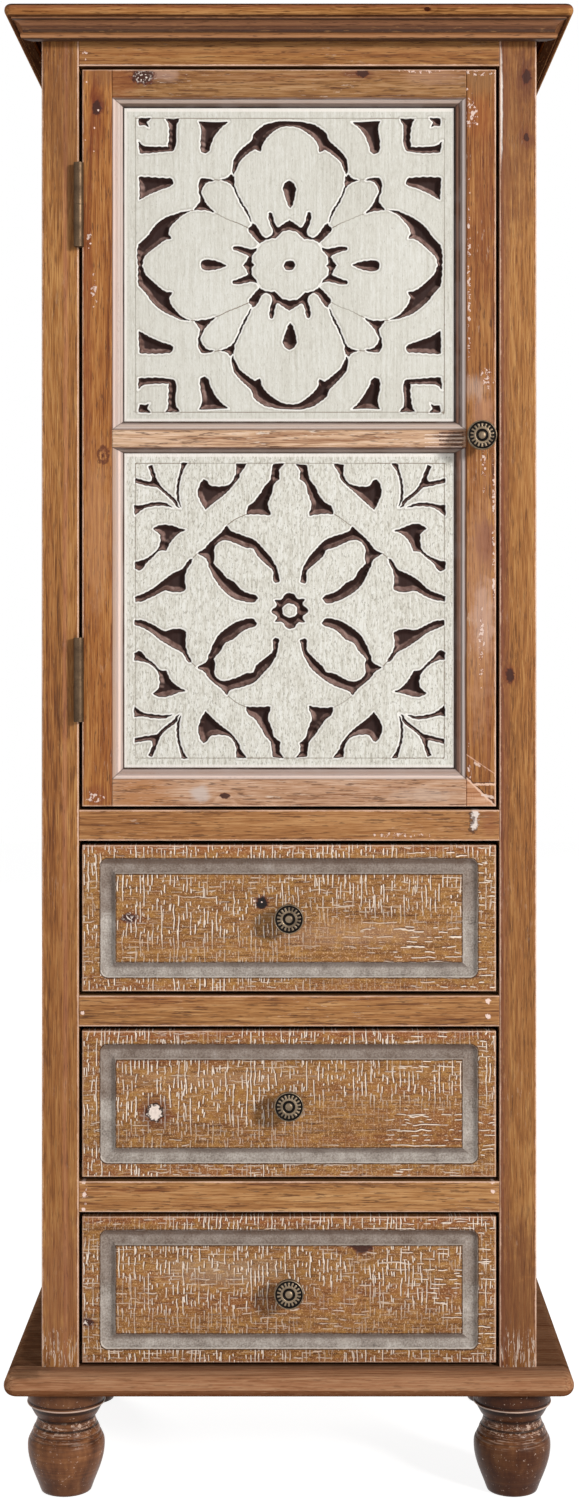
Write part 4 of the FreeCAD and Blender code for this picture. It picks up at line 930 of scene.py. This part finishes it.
def carved_panel(name, node, cuts, half_height, middle, seed, material):
    """Build a board whose pattern is cut in with sloped walls."""
    low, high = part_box(node)
    half = np.array((MOTIF_HALF_WIDTH, half_height)) * MM
    centre = np.array((MOTIF_MIDDLE, middle)) * MM
    lines = [line for points in cuts["quarters"] for line in quarters(points)]
    for points in cuts["about_x"]:
        lines += mirrored(points, (-1, 1), (1, -1))
    for points in cuts["about_y"]:
        lines += mirrored(points, (1, -1), (-1, 1))
    lines.append(ring_line(cuts["gap_out"]))
    wave = np.random.default_rng(seed).uniform(0, 6.28, 8)
    rim = RIM_DEPTH * MM
    step = GRID * MM

    def to_place(line):
        place = np.array(line) * half * (1, -1)
        # A carver's hand: slow and quick irregularities of a few tenths of a millimetre
        x, z = place[:, 0] / MM, place[:, 1] / MM
        dx = 0.45 * np.sin(x * 0.11 + z * 0.17 + wave[0]) + 0.34 * np.sin(z * 1.1 + wave[1]) * np.sin(x * 0.8)
        dz = 0.45 * np.sin(z * 0.13 - x * 0.15 + wave[2]) + 0.34 * np.sin(x * 1.0 + wave[3]) * np.sin(z * 1.3)
        return place + np.stack((dx, dz), 1) * MM + centre

    lines = [grown(to_place(line), 0.4 * MM) for line in lines]
    holes = []
    for radius in cuts["discs"]:
        angles = np.linspace(0, 2 * math.pi, 25)[:-1]
        holes.append(to_place([(radius * math.cos(t), radius * math.sin(t)) for t in angles]))
    island = to_place(ring_line(cuts["gap_in"]))
    outlines = lines + holes + [island]
    starts = np.concatenate(outlines)
    stops = np.concatenate([np.roll(line, -1, axis=0) for line in outlines])
    fine = [to_place(signed(curve(line, 0.01), signs)) for line in cuts["lines"] for signs in QUARTERS]
    border = np.array([(-1, -1), (1, -1), (1, 1), (-1, 1), (-1, -1)]) * (BORDER_X, BORDER_Z)
    fine.append(np.concatenate([np.linspace(a, b, 120) for a, b in zip(border, border[1:])]) * half + centre)
    to_outline = nearness([np.concatenate((line, line[:1])) for line in outlines])
    to_crease = nearness(fine)

    def depth_at(points):
        inside = np.zeros(len(points), bool)
        for line in lines:
            inside |= in_line(points, line)
        inside &= ~in_line(points, island)
        for line in holes:
            inside |= in_line(points, line)
        reach = to_outline(points)
        wall = np.minimum(reach * WALL_SLOPE + rim, CUT_DEPTH * MM)
        shoulder = rim * np.clip(1 - reach / (ROUNDING * MM), 0, 1) ** 2
        crease = np.clip(1 - to_crease(points) / (LINE_HALF * MM), 0, 1)
        return np.maximum(np.where(inside, wall, shoulder), LINE_DEPTH * MM * crease), inside, reach, crease

    # Points: the outlines, the walls, a shoulder ring round them, the fine lines and the board's rim
    grid_x, grid_z = np.meshgrid(np.arange(low.x + step, high.x - step / 2, step),
                                 np.arange(low.z + step, high.z - step / 2, step))
    grid_x[1::2] += step / 2
    grid = np.stack((grid_x.ravel(), grid_z.ravel()), 1)
    grid = grid[grid[:, 0] < high.x - step / 2]
    depth, inside, reach, crease = depth_at(grid)
    near, far = [size * MM for size in GRID_ROUND]
    spots = [starts, grid[inside & (reach > GRID_IN * MM)], grid[~inside & (reach > near) & (reach < far)]]
    for side in (-1, 1):
        ring = (starts + stops) / 2 + across(stops - starts) * side * RING_AWAY * MM
        spots.append(ring[to_outline(ring) > RING_CLEAR * MM])
    for line in fine:
        spots += [line[:-1] + across(np.diff(line, axis=0)) * side * LINE_HALF * MM for side in (-1, 1)]
    points = np.concatenate(spots + [grid[::11]])
    lowest, highest = np.array((low.x, low.z)), np.array((high.x, high.z))
    within = ((points > lowest + 0.1 * MM) & (points < highest - 0.1 * MM)).all(1)
    assert within[:len(starts)].all()
    points = points[within]
    edges = []
    first = 0
    for line in outlines:
        size = len(line)
        edges += [(first + k, first + (k + 1) % size) for k in range(size)]
        first += size
    for line in fine:
        edges += [(len(points) + k, len(points) + k + 1) for k in range(len(line) - 1)]
        points = np.concatenate((points, line))
    corners = np.array([(low.x, low.z), (high.x, low.z), (high.x, high.z), (low.x, high.z)])
    edges += [(len(points) + k, len(points) + (k + 1) % 4) for k in range(4)]
    points = np.concatenate((points, corners))
    made = delaunay_2d_cdt([Vector(p) for p in points], edges, [], 1, SMALL)
    flat = np.array([tuple(v) for v in made[0]])
    depth, inside, reach, crease = depth_at(flat)
    on_outline = reach < SMALL
    depth[on_outline] = rim
    depth[((abs(flat - lowest) < SMALL) | (abs(flat - highest) < SMALL)).any(1)] = 0
    verts = [(x, low.y + d, z) for (x, z), d in zip(flat, depth)]
    faces = [tuple(f) for f in made[2]]
    # Sides and back
    front = [int(np.argmin(((flat - corner) ** 2).sum(1))) for corner in corners]
    back = range(len(verts), len(verts) + 4)
    verts += [(verts[number][0], high.y, verts[number][2]) for number in front]
    faces += [(front[k], front[(k + 1) % 4], back[(k + 1) % 4], back[k]) for k in range(4)]
    faces.append(tuple(back))
    mesh = piece(name, node, verts, faces, material, "door", smooth=False)
    depths = np.concatenate((depth, np.zeros(4)))
    mesh.polygons.foreach_set("use_smooth", [bool(depths[list(polygon.vertices)].max() > 0.05 * MM)
                                             for polygon in mesh.polygons])
    store(mesh, "crease", np.concatenate((np.where(inside, 0, crease), np.zeros(4))))
    reach = np.where(inside & ~on_outline, -reach, reach) / MM
    store(mesh, "reach", np.concatenate((reach, np.full(4, 9.0))).clip(-9, 9))


def panel_paint():
    """Chalky off-white paint over upright grain, with painted highlights along its edges; brown in the cuts,
    with painted shade; bare wood behind.
    """
    s = Shade("carved_paint")
    x, z = s.axis["X"], s.axis["Z"]
    depth = s.axis["Y"] - PANEL_FRONT
    streak = s.cloud((420, 60, 15), 3, 0.65)
    flick = s.cloud((520, 60, 120), 3, 0.7, 0.8, shift=(5, 1, 2))
    broad = s.cloud((16, 10, 9))
    grit = s.cloud((800, 300, 500), 2, 0.6)
    # The lower panel's paint is rougher
    lower = s.fall(z, 0.935, 0.945)
    tone = streak * 0.35 + (flick * 0.35 + (broad * 0.15 + grit * 0.15)) + (flick - 0.5) * lower * 0.5
    s.colour = s.ramp(tone, [(0.34, (188, 184, 172)), (0.43, (208, 205, 195)), (0.51, (219, 217, 208)),
                             (0.60, (230, 229, 223))])
    speck = s.span(s.cloud((560, 60, 260), 2, 0.7, shift=(3, 2, 1)) + lower * 0.07, 0.64, 0.70)
    s.coat(speck * (lower * 0.2 + 0.35), (142, 134, 120))
    reach = s.attribute("reach") + (s.cloud(420) - 0.5) * 0.8
    # Round the cuts the paint is smudged, and a painted highlight runs along the very edge
    dx = MOTIF_HALF_WIDTH * MM - s.far(x, MOTIF_MIDDLE * MM)
    dz = s.high(UPPER_HALF * MM - s.far(z, UPPER_MIDDLE * MM), LOWER_HALF * MM - s.far(z, LOWER_MIDDLE * MM))
    border = s.low(dx, dz) + (flick - 0.5) * 0.0012
    s.coat((1.0 - lower) * 0.11, (146, 146, 138))
    # A painted highlight along the panel's edge beside the sticking
    s.coat(s.fall(border, 0.0010, 0.0026, 0.7), (246, 240, 234))
    smudge = s.span(reach, 0.8, 1.6) * s.fall(reach, 1.8, 3.4)
    s.coat(smudge * s.span(flick, 0.4, 0.62, 0.05, 0.5), (150, 142, 130))
    s.coat(s.fall(reach, 0.9, 1.3) * 0.75, (246, 244, 240))
    s.coat(s.span(s.attribute("crease"), 0.15, 0.8) * s.span(broad, 0.35, 0.6, 0.45, 1.0), (138, 126, 112))
    # The cuts: painted shade, near black beside the edge and lighter towards the bottom
    blot = s.cloud((170, 170, 110), 3, 0.6)
    floor = s.ramp(blot, [(0.3, (96, 68, 60)), (0.5, (134, 106, 98)), (0.7, (162, 136, 128))])
    inward = reach * -1.0 + (blot - 0.5) * 0.8
    # Painted light and shade: the walls that face up are lighter, and those that face down stay dark
    lit_wall_share = s.span(s.facing["Z"] + s.facing["X"] * 0.35, 0.0, 0.45)
    stain = s.mix(s.span(inward, 0.5, 1.1), (28, 14, 11), s.mix(lit_wall_share, (46, 26, 22), floor))
    s.coat(s.span(depth + (grit - 0.5) * 0.0003, 0.00045, 0.0008), stain)
    # Bare wood on the back
    rings = s.math("PINGPONG", x * 84.0 + s.cloud((22, 22, 2.2), 3, 0.55, 0.5) * 8.0, 0.5)
    rings = rings * 1.2 + (streak * 0.5 + flick * 0.4)
    timber = s.ramp(rings, [(0.30, (164, 126, 86)), (0.60, (182, 144, 102)), (0.95, (198, 164, 122))])
    pores = s.span(s.cloud((620, 620, 60), 2, 0.7), 0.58, 0.66)
    s.coat(s.span(depth, 0.0085, 0.0095), s.mix(pores * 0.4, timber, (112, 76, 46)))
    height = streak * 0.5 + (flick * 0.7 + grit * 0.3)
    return s.finish(s.span(streak, 0.3, 0.7, 0.6, 0.8), s.bump(height, 0.0005, 0.6), Specular_IOR_Level=0.25)


PANEL_FRONT = -0.131
paint = panel_paint()
carved_panel("carved_panel_upper", "door_panel_upper", UPPER_CUTS, UPPER_HALF, UPPER_MIDDLE, 5, paint)
carved_panel("carved_panel_lower", "door_panel_lower", LOWER_CUTS, LOWER_HALF, LOWER_MIDDLE, 6, paint)


# Sticking round the panels

# Across a strip from the frame inward, and how far it stands before the panel in mm
STICKING = [(0.0, 0.0), (0.0, 7.2), (0.03, 7.5), (0.30, 7.5), (0.36, 7.1), (0.40, 6.0), (0.47, 5.75),
            (0.53, 5.9), (0.60, 5.5), (0.68, 4.4), (0.74, 3.2), (0.80, 2.5), (0.86, 2.35), (0.90, 1.3),
            (0.93, 0.35), (1.0, 0.3), (1.0, 0.0)]


def sticking(panel, widths, bands):
    """A mitred moulding from the door's face down to a panel. widths: left, right, top, bottom."""
    node = f"door_bead_{panel}"
    low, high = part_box(node)
    left, right, top, bottom = [width * MM for width in widths]
    verts = []
    for share, rise in STICKING:
        x0, x1 = low.x + left * share, high.x - right * share
        z0, z1 = low.z + bottom * share, high.z - top * share
        verts += [(x, high.y - rise * MM, z) for x, z in ((x0, z0), (x1, z0), (x1, z1), (x0, z1))]
    faces = []
    for k in range(len(STICKING)):
        after = (k + 1) % len(STICKING)
        for corner in range(4):
            next_corner = (corner + 1) % 4
            faces.append((k * 4 + corner, k * 4 + next_corner, after * 4 + next_corner, after * 4 + corner))
    material = sticking_paint_and_light(f"sticking_wash_and_light_{panel}", low, high, widths, bands)
    piece(f"sticking_{panel}", node, verts, faces, material, "door", smooth=False)


def sticking_paint_and_light(name, low, high, widths, bands):
    """A worn pale wash over brown wood, with painted light and shade. Each side has its own bands, from its
    outer edge in.
    """
    s = Shade(name)
    x, z = s.axis["X"], s.axis["Z"]
    share = {side: away * (1.0 / (width * MM)) for side, away, width in zip(
        ("left", "right", "top", "bottom"), (x - low.x, high.x - x, high.z - z, z - low.z), widths)}
    level, upright = s.low(share["left"], share["right"]), s.low(share["top"], share["bottom"])
    least = s.low(level, upright)
    streaks = {"X": s.cloud((14, 420, 420), 3, 0.65), "Z": s.cloud((420, 420, 14), 3, 0.65)}
    cloud = s.cloud(40, 2, 0.6)
    grit = s.cloud(420, 3, 0.7)
    for side, stops in bands.items():
        streak = streaks["Z" if side in ("left", "right") else "X"]
        shade = s.ramp(share[side] + (streak - 0.5) * 0.10, stops)
        shade = s.mix(s.span(streak * 0.6 + grit * 0.4, 0.56, 0.66) * 0.25, shade, (138, 108, 94))
        shade = s.mix(s.span(cloud, 0.4, 0.6, 0.0, 0.12), shade, (190, 178, 176))
        if s.colour is None:
            s.colour = shade
        else:
            s.coat(s.span(share[side] - least, 0.0, 0.02, 1.0, 0.0, "LINEAR"), shade)
    s.coat(s.fall(s.low(s.far(level, upright), 1.0), 0.03, 0.10, 0.55), (70, 52, 46))
    bump = s.bump(streaks["X"] + streaks["Z"], 0.0002, 0.5)
    return s.finish(s.span(grit, 0.3, 0.7, 0.55, 0.75), bump, Specular_IOR_Level=0.3)


PINKISH = (194, 172, 162)
PALE = (208, 190, 181)
BRIGHT = (234, 208, 196)
GREY = (184, 164, 156)
LAVENDER = (172, 160, 156)
DULL = (140, 122, 112)
BROWN = (112, 78, 62)
SHADE = (64, 42, 32)
LINE = (34, 20, 14)
# Painted light and shade in the bands: the left and bottom sides are lighter and the right and top sides
# darker, as lit from the upper right, with a dark painted shade line in the quirk before the panel
UPPER_LIGHT_AND_SHADE = {
    "left": [(0.0, (112, 70, 46)), (0.04, (120, 78, 54)), (0.09, GREY), (0.14, BRIGHT), (0.22, BRIGHT),
             (0.32, PINKISH), (0.42, PINKISH), (0.50, PALE), (0.62, PALE), (0.71, GREY), (0.79, PALE),
             (0.87, GREY), (0.92, LINE)],
    "right": [(0.0, BROWN), (0.10, DULL), (0.18, LAVENDER), (0.33, LAVENDER), (0.44, DULL), (0.52, SHADE),
              (0.60, SHADE), (0.68, (166, 122, 102)), (0.78, (140, 98, 78)), (0.86, LINE)],
    "top": [(0.0, (150, 108, 80)), (0.10, (130, 92, 68)), (0.15, SHADE), (0.24, SHADE),
            (0.32, (194, 176, 166)), (0.50, (182, 162, 150)), (0.60, (150, 128, 116)), (0.68, (112, 92, 80)),
            (0.84, (92, 74, 64)), (0.90, LINE)],
    "bottom": [(0.0, (150, 118, 98)), (0.12, DULL), (0.26, PALE), (0.50, (198, 176, 162)), (0.64, GREY),
               (0.76, DULL), (0.83, SHADE)],
}
LOWER_LIGHT_AND_SHADE = {
    "left": [(0.0, (130, 90, 64)), (0.05, (150, 110, 86)), (0.12, (196, 160, 138)), (0.30, (188, 160, 142)),
             (0.44, GREY), (0.56, BRIGHT), (0.66, BRIGHT), (0.76, GREY), (0.84, GREY), (0.91, SHADE)],
    "right": [(0.0, SHADE), (0.10, BROWN), (0.16, LAVENDER), (0.30, (182, 170, 164)), (0.42, DULL),
              (0.52, (134, 98, 80)), (0.72, (140, 98, 78)), (0.82, SHADE)],
    "top": [(0.0, BROWN), (0.28, SHADE), (0.45, DULL), (0.80, DULL), (0.88, SHADE)],
    "bottom": [(0.0, (176, 142, 120)), (0.14, PALE), (0.25, BRIGHT), (0.40, GREY), (0.55, (172, 146, 132)),
               (0.80, GREY), (0.87, SHADE)],
}
sticking("upper", (10.5, 10.5, 8.0, 8.3), UPPER_LIGHT_AND_SHADE)
sticking("lower", (10.5, 10.5, 4.8, 10.1), LOWER_LIGHT_AND_SHADE)


# Knobs

KNOB_RADIUS = 13.2
KNOB_AROUND = 144
PETALS = 18
# The face's rows: share of the radius, height over the dish in mm, hollow, petal depth in mm
KNOB_FACE = [(0.06, 0.33, 0, 0), (0.13, 0.25, 0, 0), (0.20, 0.05, 0, 0), (0.245, -0.3, 0.1, 0),
             (0.265, -0.9, 0.6, 0), (0.29, -1.3, 1, 0), (0.38, -1.3, 1, 0), (0.41, -0.9, 0.8, 0),
             (0.43, -0.45, 0.1, 0), (0.48, -0.4, 0, 0), (0.55, -0.45, 0, 0), (0.575, -0.5, 0, 0.2),
             (0.61, -0.5, 0, 0.6), (0.67, -0.45, 0, 0.85), (0.74, -0.45, 0, 0.85), (0.785, -0.6, 0.1, 0.65),
             (0.81, -0.9, 0.8, 0.25), (0.83, -1.15, 1, 0), (0.89, -1.0, 1, 0), (0.91, -0.4, 0.7, 0),
             (0.925, -0.05, 0, 0), (0.94, 0.0, 0, 0), (0.97, -0.3, 0, 0), (0.995, -1.0, 0.1, 0),
             (1.0, -1.8, 0.1, 0)]
# Behind the rim: share of the radius, height
KNOB_BACK = [(1.0, -3.6), (0.985, -4.6), (0.93, -5.4), (0.82, -6.6), (0.66, -8.6), (0.50, -11.2),
             (0.41, -13.6), (0.385, -15.4), (0.40, -17.0), (0.47, -18.6), (0.56, -19.4), (0.60, -19.8),
             (0.61, -21.2), (0.585, -21.7)]
KNOB_TOP = 0.35
STUD, STUD_START, STUD_BEVEL = 2.0, 22.0, 0.4
NUT, NUT_BORE, NUT_DEPTH, NUT_FROM_END = 4.4, 2.05, 2.8, 6.0


def knob(name, node, body, material):
    """A turned knob with a pressed rosette: rim, petals, ring and button, on a stud with a nut."""
    low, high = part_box(node)
    centre_x = (low.x + high.x) / 2
    centre_z = (low.z + high.z) / 2
    radius = KNOB_RADIUS * MM
    top = low.y + KNOB_TOP * MM
    rows = [(0, low.y, 0, 0)]
    rows += [(share * radius, top - rise * MM, hollow, petal) for share, rise, hollow, petal in KNOB_FACE]
    rows += [(share * radius, top - rise * MM, 0.15, 0) for share, rise in KNOB_BACK]
    rows += [(STUD * MM, low.y + STUD_START * MM, 0.1, 0), (STUD * MM, high.y - STUD_BEVEL * MM, 0.1, 0),
             (STUD * MM * 0.8, high.y, 0.1, 0), (0, high.y, 0.1, 0)]
    hollows = []

    def place(row, step):
        r, y, hollow, petal = row
        angle = 2 * math.pi * step / KNOB_AROUND
        wave = 0.5 - 0.5 * math.cos(angle * PETALS)
        hollows.append(min(1.0, hollow + (1 - wave ** 1.1) * (0.9 if petal else 0)))
        sink = petal * MM * (1 - wave ** 0.6)
        return centre_x + r * math.cos(angle), y + sink, centre_z + r * math.sin(angle)

    verts, faces = turned(rows, KNOB_AROUND, place)
    # The nut behind the wood: its sides, its end and its bore
    first = len(verts)
    near = high.y - NUT_FROM_END * MM
    deep = near + NUT_DEPTH * MM
    for size, y in ((NUT, near), (NUT, deep), (NUT_BORE, deep), (NUT_BORE, near)):
        for angle in [math.pi * k / 3 for k in range(6)]:
            verts.append((centre_x + size * MM * math.cos(angle), y, centre_z + size * MM * math.sin(angle)))
            hollows.append(0.1)
    for k in range(4):
        one, two = first + k * 6, first + ((k + 1) % 4) * 6
        faces += [(one + side, one + (side + 1) % 6, two + (side + 1) % 6, two + side) for side in range(6)]
    store(piece(name, node, verts, faces, material, body), "hollow", hollows)


knob("rosette_knob_door", "door_knob", "door", knob_metal)
for number in DRAWERS:
    knob(f"rosette_knob_{number}", f"drawer_{number}_knob", f"drawer_{number}", knob_metal)


# Feet

# Heights in mm: rings that are rubbed pale, with a strength, and grooves that stay dark, with a width
# The ring at 79.6 mm, on the collar's lower edge, is a painted highlight as well as wear
RUBBED = {48.2: 0.9, 52.2: 0.9, 57.8: 0.8, 79.6: 2.2}
RUBBED_WIDTH = 0.75
# The broad groove at 76.6 mm, under the collar, is painted shade
HOLLOWS = {48.6: 1.0, 52.6: 1.0, 59.2: 1.2, 67.2: 1.5, 76.6: 2.4, 82.0: 0.8}
# The belly swells from the sole to the shoulder: radius and height
SOLE, SHOULDER_RING = (23.6, 3.0), (34.4, 41.0)
FOOT_TOP = [(34.35, 43.0), (34.1, 45.0), (33.5, 47.0), (32.9, 48.2), (32.2, 48.5), (32.4, 49.2), (31.6, 51.0),
            (30.9, 52.2), (30.2, 52.5), (30.4, 53.2), (29.8, 55.2), (28.9, 57.4), (28.1, 58.6), (27.4, 59.0),
            (27.5, 59.6), (26.9, 61.4), (26.2, 63.2), (25.9, 64.8), (25.9, 66.0), (26.3, 66.9), (26.0, 67.3),
            (26.8, 67.9), (27.8, 68.9), (28.8, 70.4), (29.9, 72.4), (31.0, 74.4), (31.9, 76.2), (32.6, 77.6),
            (32.9, 78.2), (33.9, 78.5), (34.7, 79.1), (35.0, 79.9), (34.7, 80.8), (34.1, 81.4), (34.0, 82.0),
            (34.3, 83.0), (34.6, 85.0), (34.8, 90.0), (34.9, 97.2), (0, 97.2)]


def rubbed(z):
    """Say how a height of the foot is marked: above 0 where a ring is rubbed pale, below 0 in a dark groove.
    On the collar's lower edge the pale is a painted highlight as well as wear, and the groove under the
    collar is painted shade.
    """
    pale = max(strength * math.exp(-((z - height) / RUBBED_WIDTH) ** 2)
               for height, strength in RUBBED.items())
    return pale - max(math.exp(-((z - height) / width) ** 2) for height, width in HOLLOWS.items())


def foot(name, node, material):
    """A turned foot with the lathe's rings and beads."""
    low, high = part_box(node)
    centre = (low + high) / 2
    profile = [(0, 0), (20.6, 0), (22.6, 0.8), (23.5, 3.0)]
    for t in [step / 12 for step in range(1, 13)]:
        swell = math.sin(t * math.pi / 2) ** 1.15
        profile.append((SOLE[0] + (SHOULDER_RING[0] - SOLE[0]) * swell,
                        SOLE[1] + (SHOULDER_RING[1] - SOLE[1]) * t))

    def place(row, step):
        angle = 2 * math.pi * step / 96
        return row[0] * math.cos(angle) + centre.x, row[0] * math.sin(angle) + centre.y, row[1]

    verts, faces = turned([(r * MM, z * MM) for r, z in profile + FOOT_TOP], 96, place)
    mesh = piece(name, node, verts, faces, material, "case")
    store(mesh, "rub", [rubbed(vert.co.z / MM) for vert in mesh.vertices])


def foot_stain(name, tint, depth):
    """Dark reddish-brown stain, semi-gloss, pale where rings are rubbed, near black in the grooves, with
    painted highlights on the collar's edge, the neck and the shoulder, and painted shade under the collar.
    """
    s = Shade(name)
    z = s.axis["Z"]
    blotch = s.cloud((60, 60, 44), 3, 0.6)
    rings = s.cloud((4, 4, 420), 2, 0.6)
    tone = s.cloud((120, 120, 14), 3, 0.6) * 0.35 + (blotch * 0.4 + rings * 0.25)
    s.colour = s.ramp(tone, [(0.34, (44, 22, 13)), (0.45, (94, 56, 34)), (0.56, (130, 84, 52)),
                             (0.68, (174, 126, 88))])
    # Darker and redder towards the sole and round the neck
    s.coat(s.fall(z, 0.004, 0.030, 0.55), (62, 32, 20))
    s.coat(s.span(z, 0.060, 0.068) * 0.5, (58, 32, 22))
    s.coat(s.high(s.span(z, 0.040, 0.054, 1.0, 0.35), s.span(z, 0.066, 0.078)) * depth, tint)
    rub = s.attribute("rub")
    # Pale flecks, gathered round the neck as painted glints
    neck = s.span(z, 0.052, 0.058) * s.fall(z, 0.066, 0.070)
    s.coat(s.span(s.cloud((300, 300, 420), 3, 0.7, shift=(2, 4, 6)) + neck * 0.09, 0.64, 0.69) * 0.7,
           (214, 186, 168))
    # Pale strokes round the shoulder: worn scratches and painted highlights
    shoulder = s.span(z, 0.042, 0.054) * s.fall(z, 0.062, 0.067)
    s.coat(s.span(s.cloud((70, 70, 900), 3, 0.65), 0.54, 0.62) * shoulder * 0.5, (206, 176, 156))
    # Near black in the grooves, with painted shade under the collar; pale on the rubbed rings, and brightest
    # on the collar's lower edge, a painted highlight as well as wear
    s.coat(s.span(rub * -1.0, 0.15, 0.8) * 0.85, (28, 14, 10))
    s.coat(s.span(rub, 0.35, 0.9) * s.span(blotch, 0.36, 0.56, 0.2, 0.8), (178, 140, 116))
    s.coat(s.span(rub, 0.9, 1.5, 0.0, 0.85), (214, 190, 176))
    height = rings * 0.6 + s.cloud(620, 2, 0.6) * 0.3
    return s.finish(s.span(blotch, 0.3, 0.7, 0.30, 0.46), s.bump(height, 0.0004, 0.6),
                    Specular_IOR_Level=0.12)


STAINS = {"left": foot_stain("foot_stain", (150, 104, 76), 0.15),
          "right": foot_stain("foot_stain_dark", (58, 30, 20), 0.6)}
for end in ("front", "rear"):
    for side, stain in STAINS.items():
        foot(f"turned_foot_{end}_{side}", f"foot_{end}_{side}", stain)


# Camera, light, floor

def put_in(item, place=(0, 0, 0)):
    """Add an object to the scene."""
    item.location = place
    scene.collection.objects.link(item)
    return item


def lamp(name, place, aim, size, power, colour):
    light = bpy.data.lights.new(name, "AREA")
    light.shape = "RECTANGLE"
    light.size = light.size_y = size
    light.energy = power
    light.color = colour
    item = put_in(bpy.data.objects.new(name, light), place)
    item.rotation_euler = (Vector(aim) - Vector(place)).to_track_quat("-Z", "Y").to_euler()


def seen_rays(tree):
    """Return 1 for rays that show the surround: the camera's own, reflections and rays through glass."""
    path = tree.nodes.new("ShaderNodeLightPath")
    seen = path.outputs["Is Camera Ray"]
    for kind in ("Is Glossy Ray", "Is Transmission Ray"):
        either = tree.nodes.new("ShaderNodeMath")
        either.operation = "MAXIMUM"
        tree.links.new(seen, either.inputs[0])
        tree.links.new(path.outputs[kind], either.inputs[1])
        seen = either.outputs[0]
    return seen


# A camera straight in front, soft lamps from the upper right, a pale floor and a white surround
camera = put_in(bpy.data.objects.new("camera", bpy.data.cameras.new("camera")), (0.0124, -2.139, 0.774))
camera.rotation_euler = (math.pi / 2, 0, 0)
camera.data.lens = 54
camera.data.sensor_width = 36
camera.data.shift_x = -0.009
camera.data.shift_y = -0.0827
scene.camera = camera
lamp("key", (3.4, -3.9, 2.2), (0, 0, 0.75), 0.8, 218, (1.0, 0.98, 0.95))
lamp("fill", (-1.8, -2.8, 1.2), (0, 0, 0.6), 1.8, 9, (1.0, 1.0, 1.0))
lamp("back", (-1.8, 3.4, 2.0), (0, 0, 0.7), 1.6, 80, (1.0, 0.98, 0.95))
WORLD_LEVEL = 0.24
FLOOR_RADIUS = 6.0
FLOOR_GLOW, FLOOR_SHARE = 1.49, 0.6

world = bpy.data.worlds.new("world")
scene.world = world
world.use_nodes = True
tree = world.node_tree
background = tree.nodes["Background"]
background.inputs["Color"].default_value = (1, 1, 1, 1)
level = tree.nodes.new("ShaderNodeMapRange")
tree.links.new(seen_rays(tree), level.inputs["Value"])
level.inputs["To Min"].default_value = WORLD_LEVEL
level.inputs["To Max"].default_value = 1.0
tree.links.new(level.outputs[0], background.inputs["Strength"])

mesh = bpy.data.meshes.new("floor")
build = bmesh.new()
bmesh.ops.create_circle(build, cap_ends=True, segments=96, radius=FLOOR_RADIUS)
build.to_mesh(mesh)
build.free()
floor = put_in(bpy.data.objects.new("floor", mesh))
material = bpy.data.materials.new("floor")
material.use_nodes = True
tree = material.node_tree
tree.nodes.clear()
output, matte, glow, blend, share = [tree.nodes.new("ShaderNode" + kind) for kind in (
    "OutputMaterial", "BsdfDiffuse", "Emission", "MixShader", "Math")]
matte.inputs["Color"].default_value = (0.9, 0.9, 0.9, 1)
glow.inputs["Color"].default_value = (1, 1, 1, 1)
glow.inputs["Strength"].default_value = FLOOR_GLOW
share.operation = "MULTIPLY"
share.inputs[1].default_value = FLOOR_SHARE
for one, two in ((seen_rays(tree), share.inputs[0]), (share.outputs[0], blend.inputs[0]),
                 (matte.outputs[0], blend.inputs[1]), (glow.outputs[0], blend.inputs[2]),
                 (blend.outputs[0], output.inputs["Surface"])):
    tree.links.new(one, two)
mesh.materials.append(material)
scene.view_settings.view_transform = "Standard"
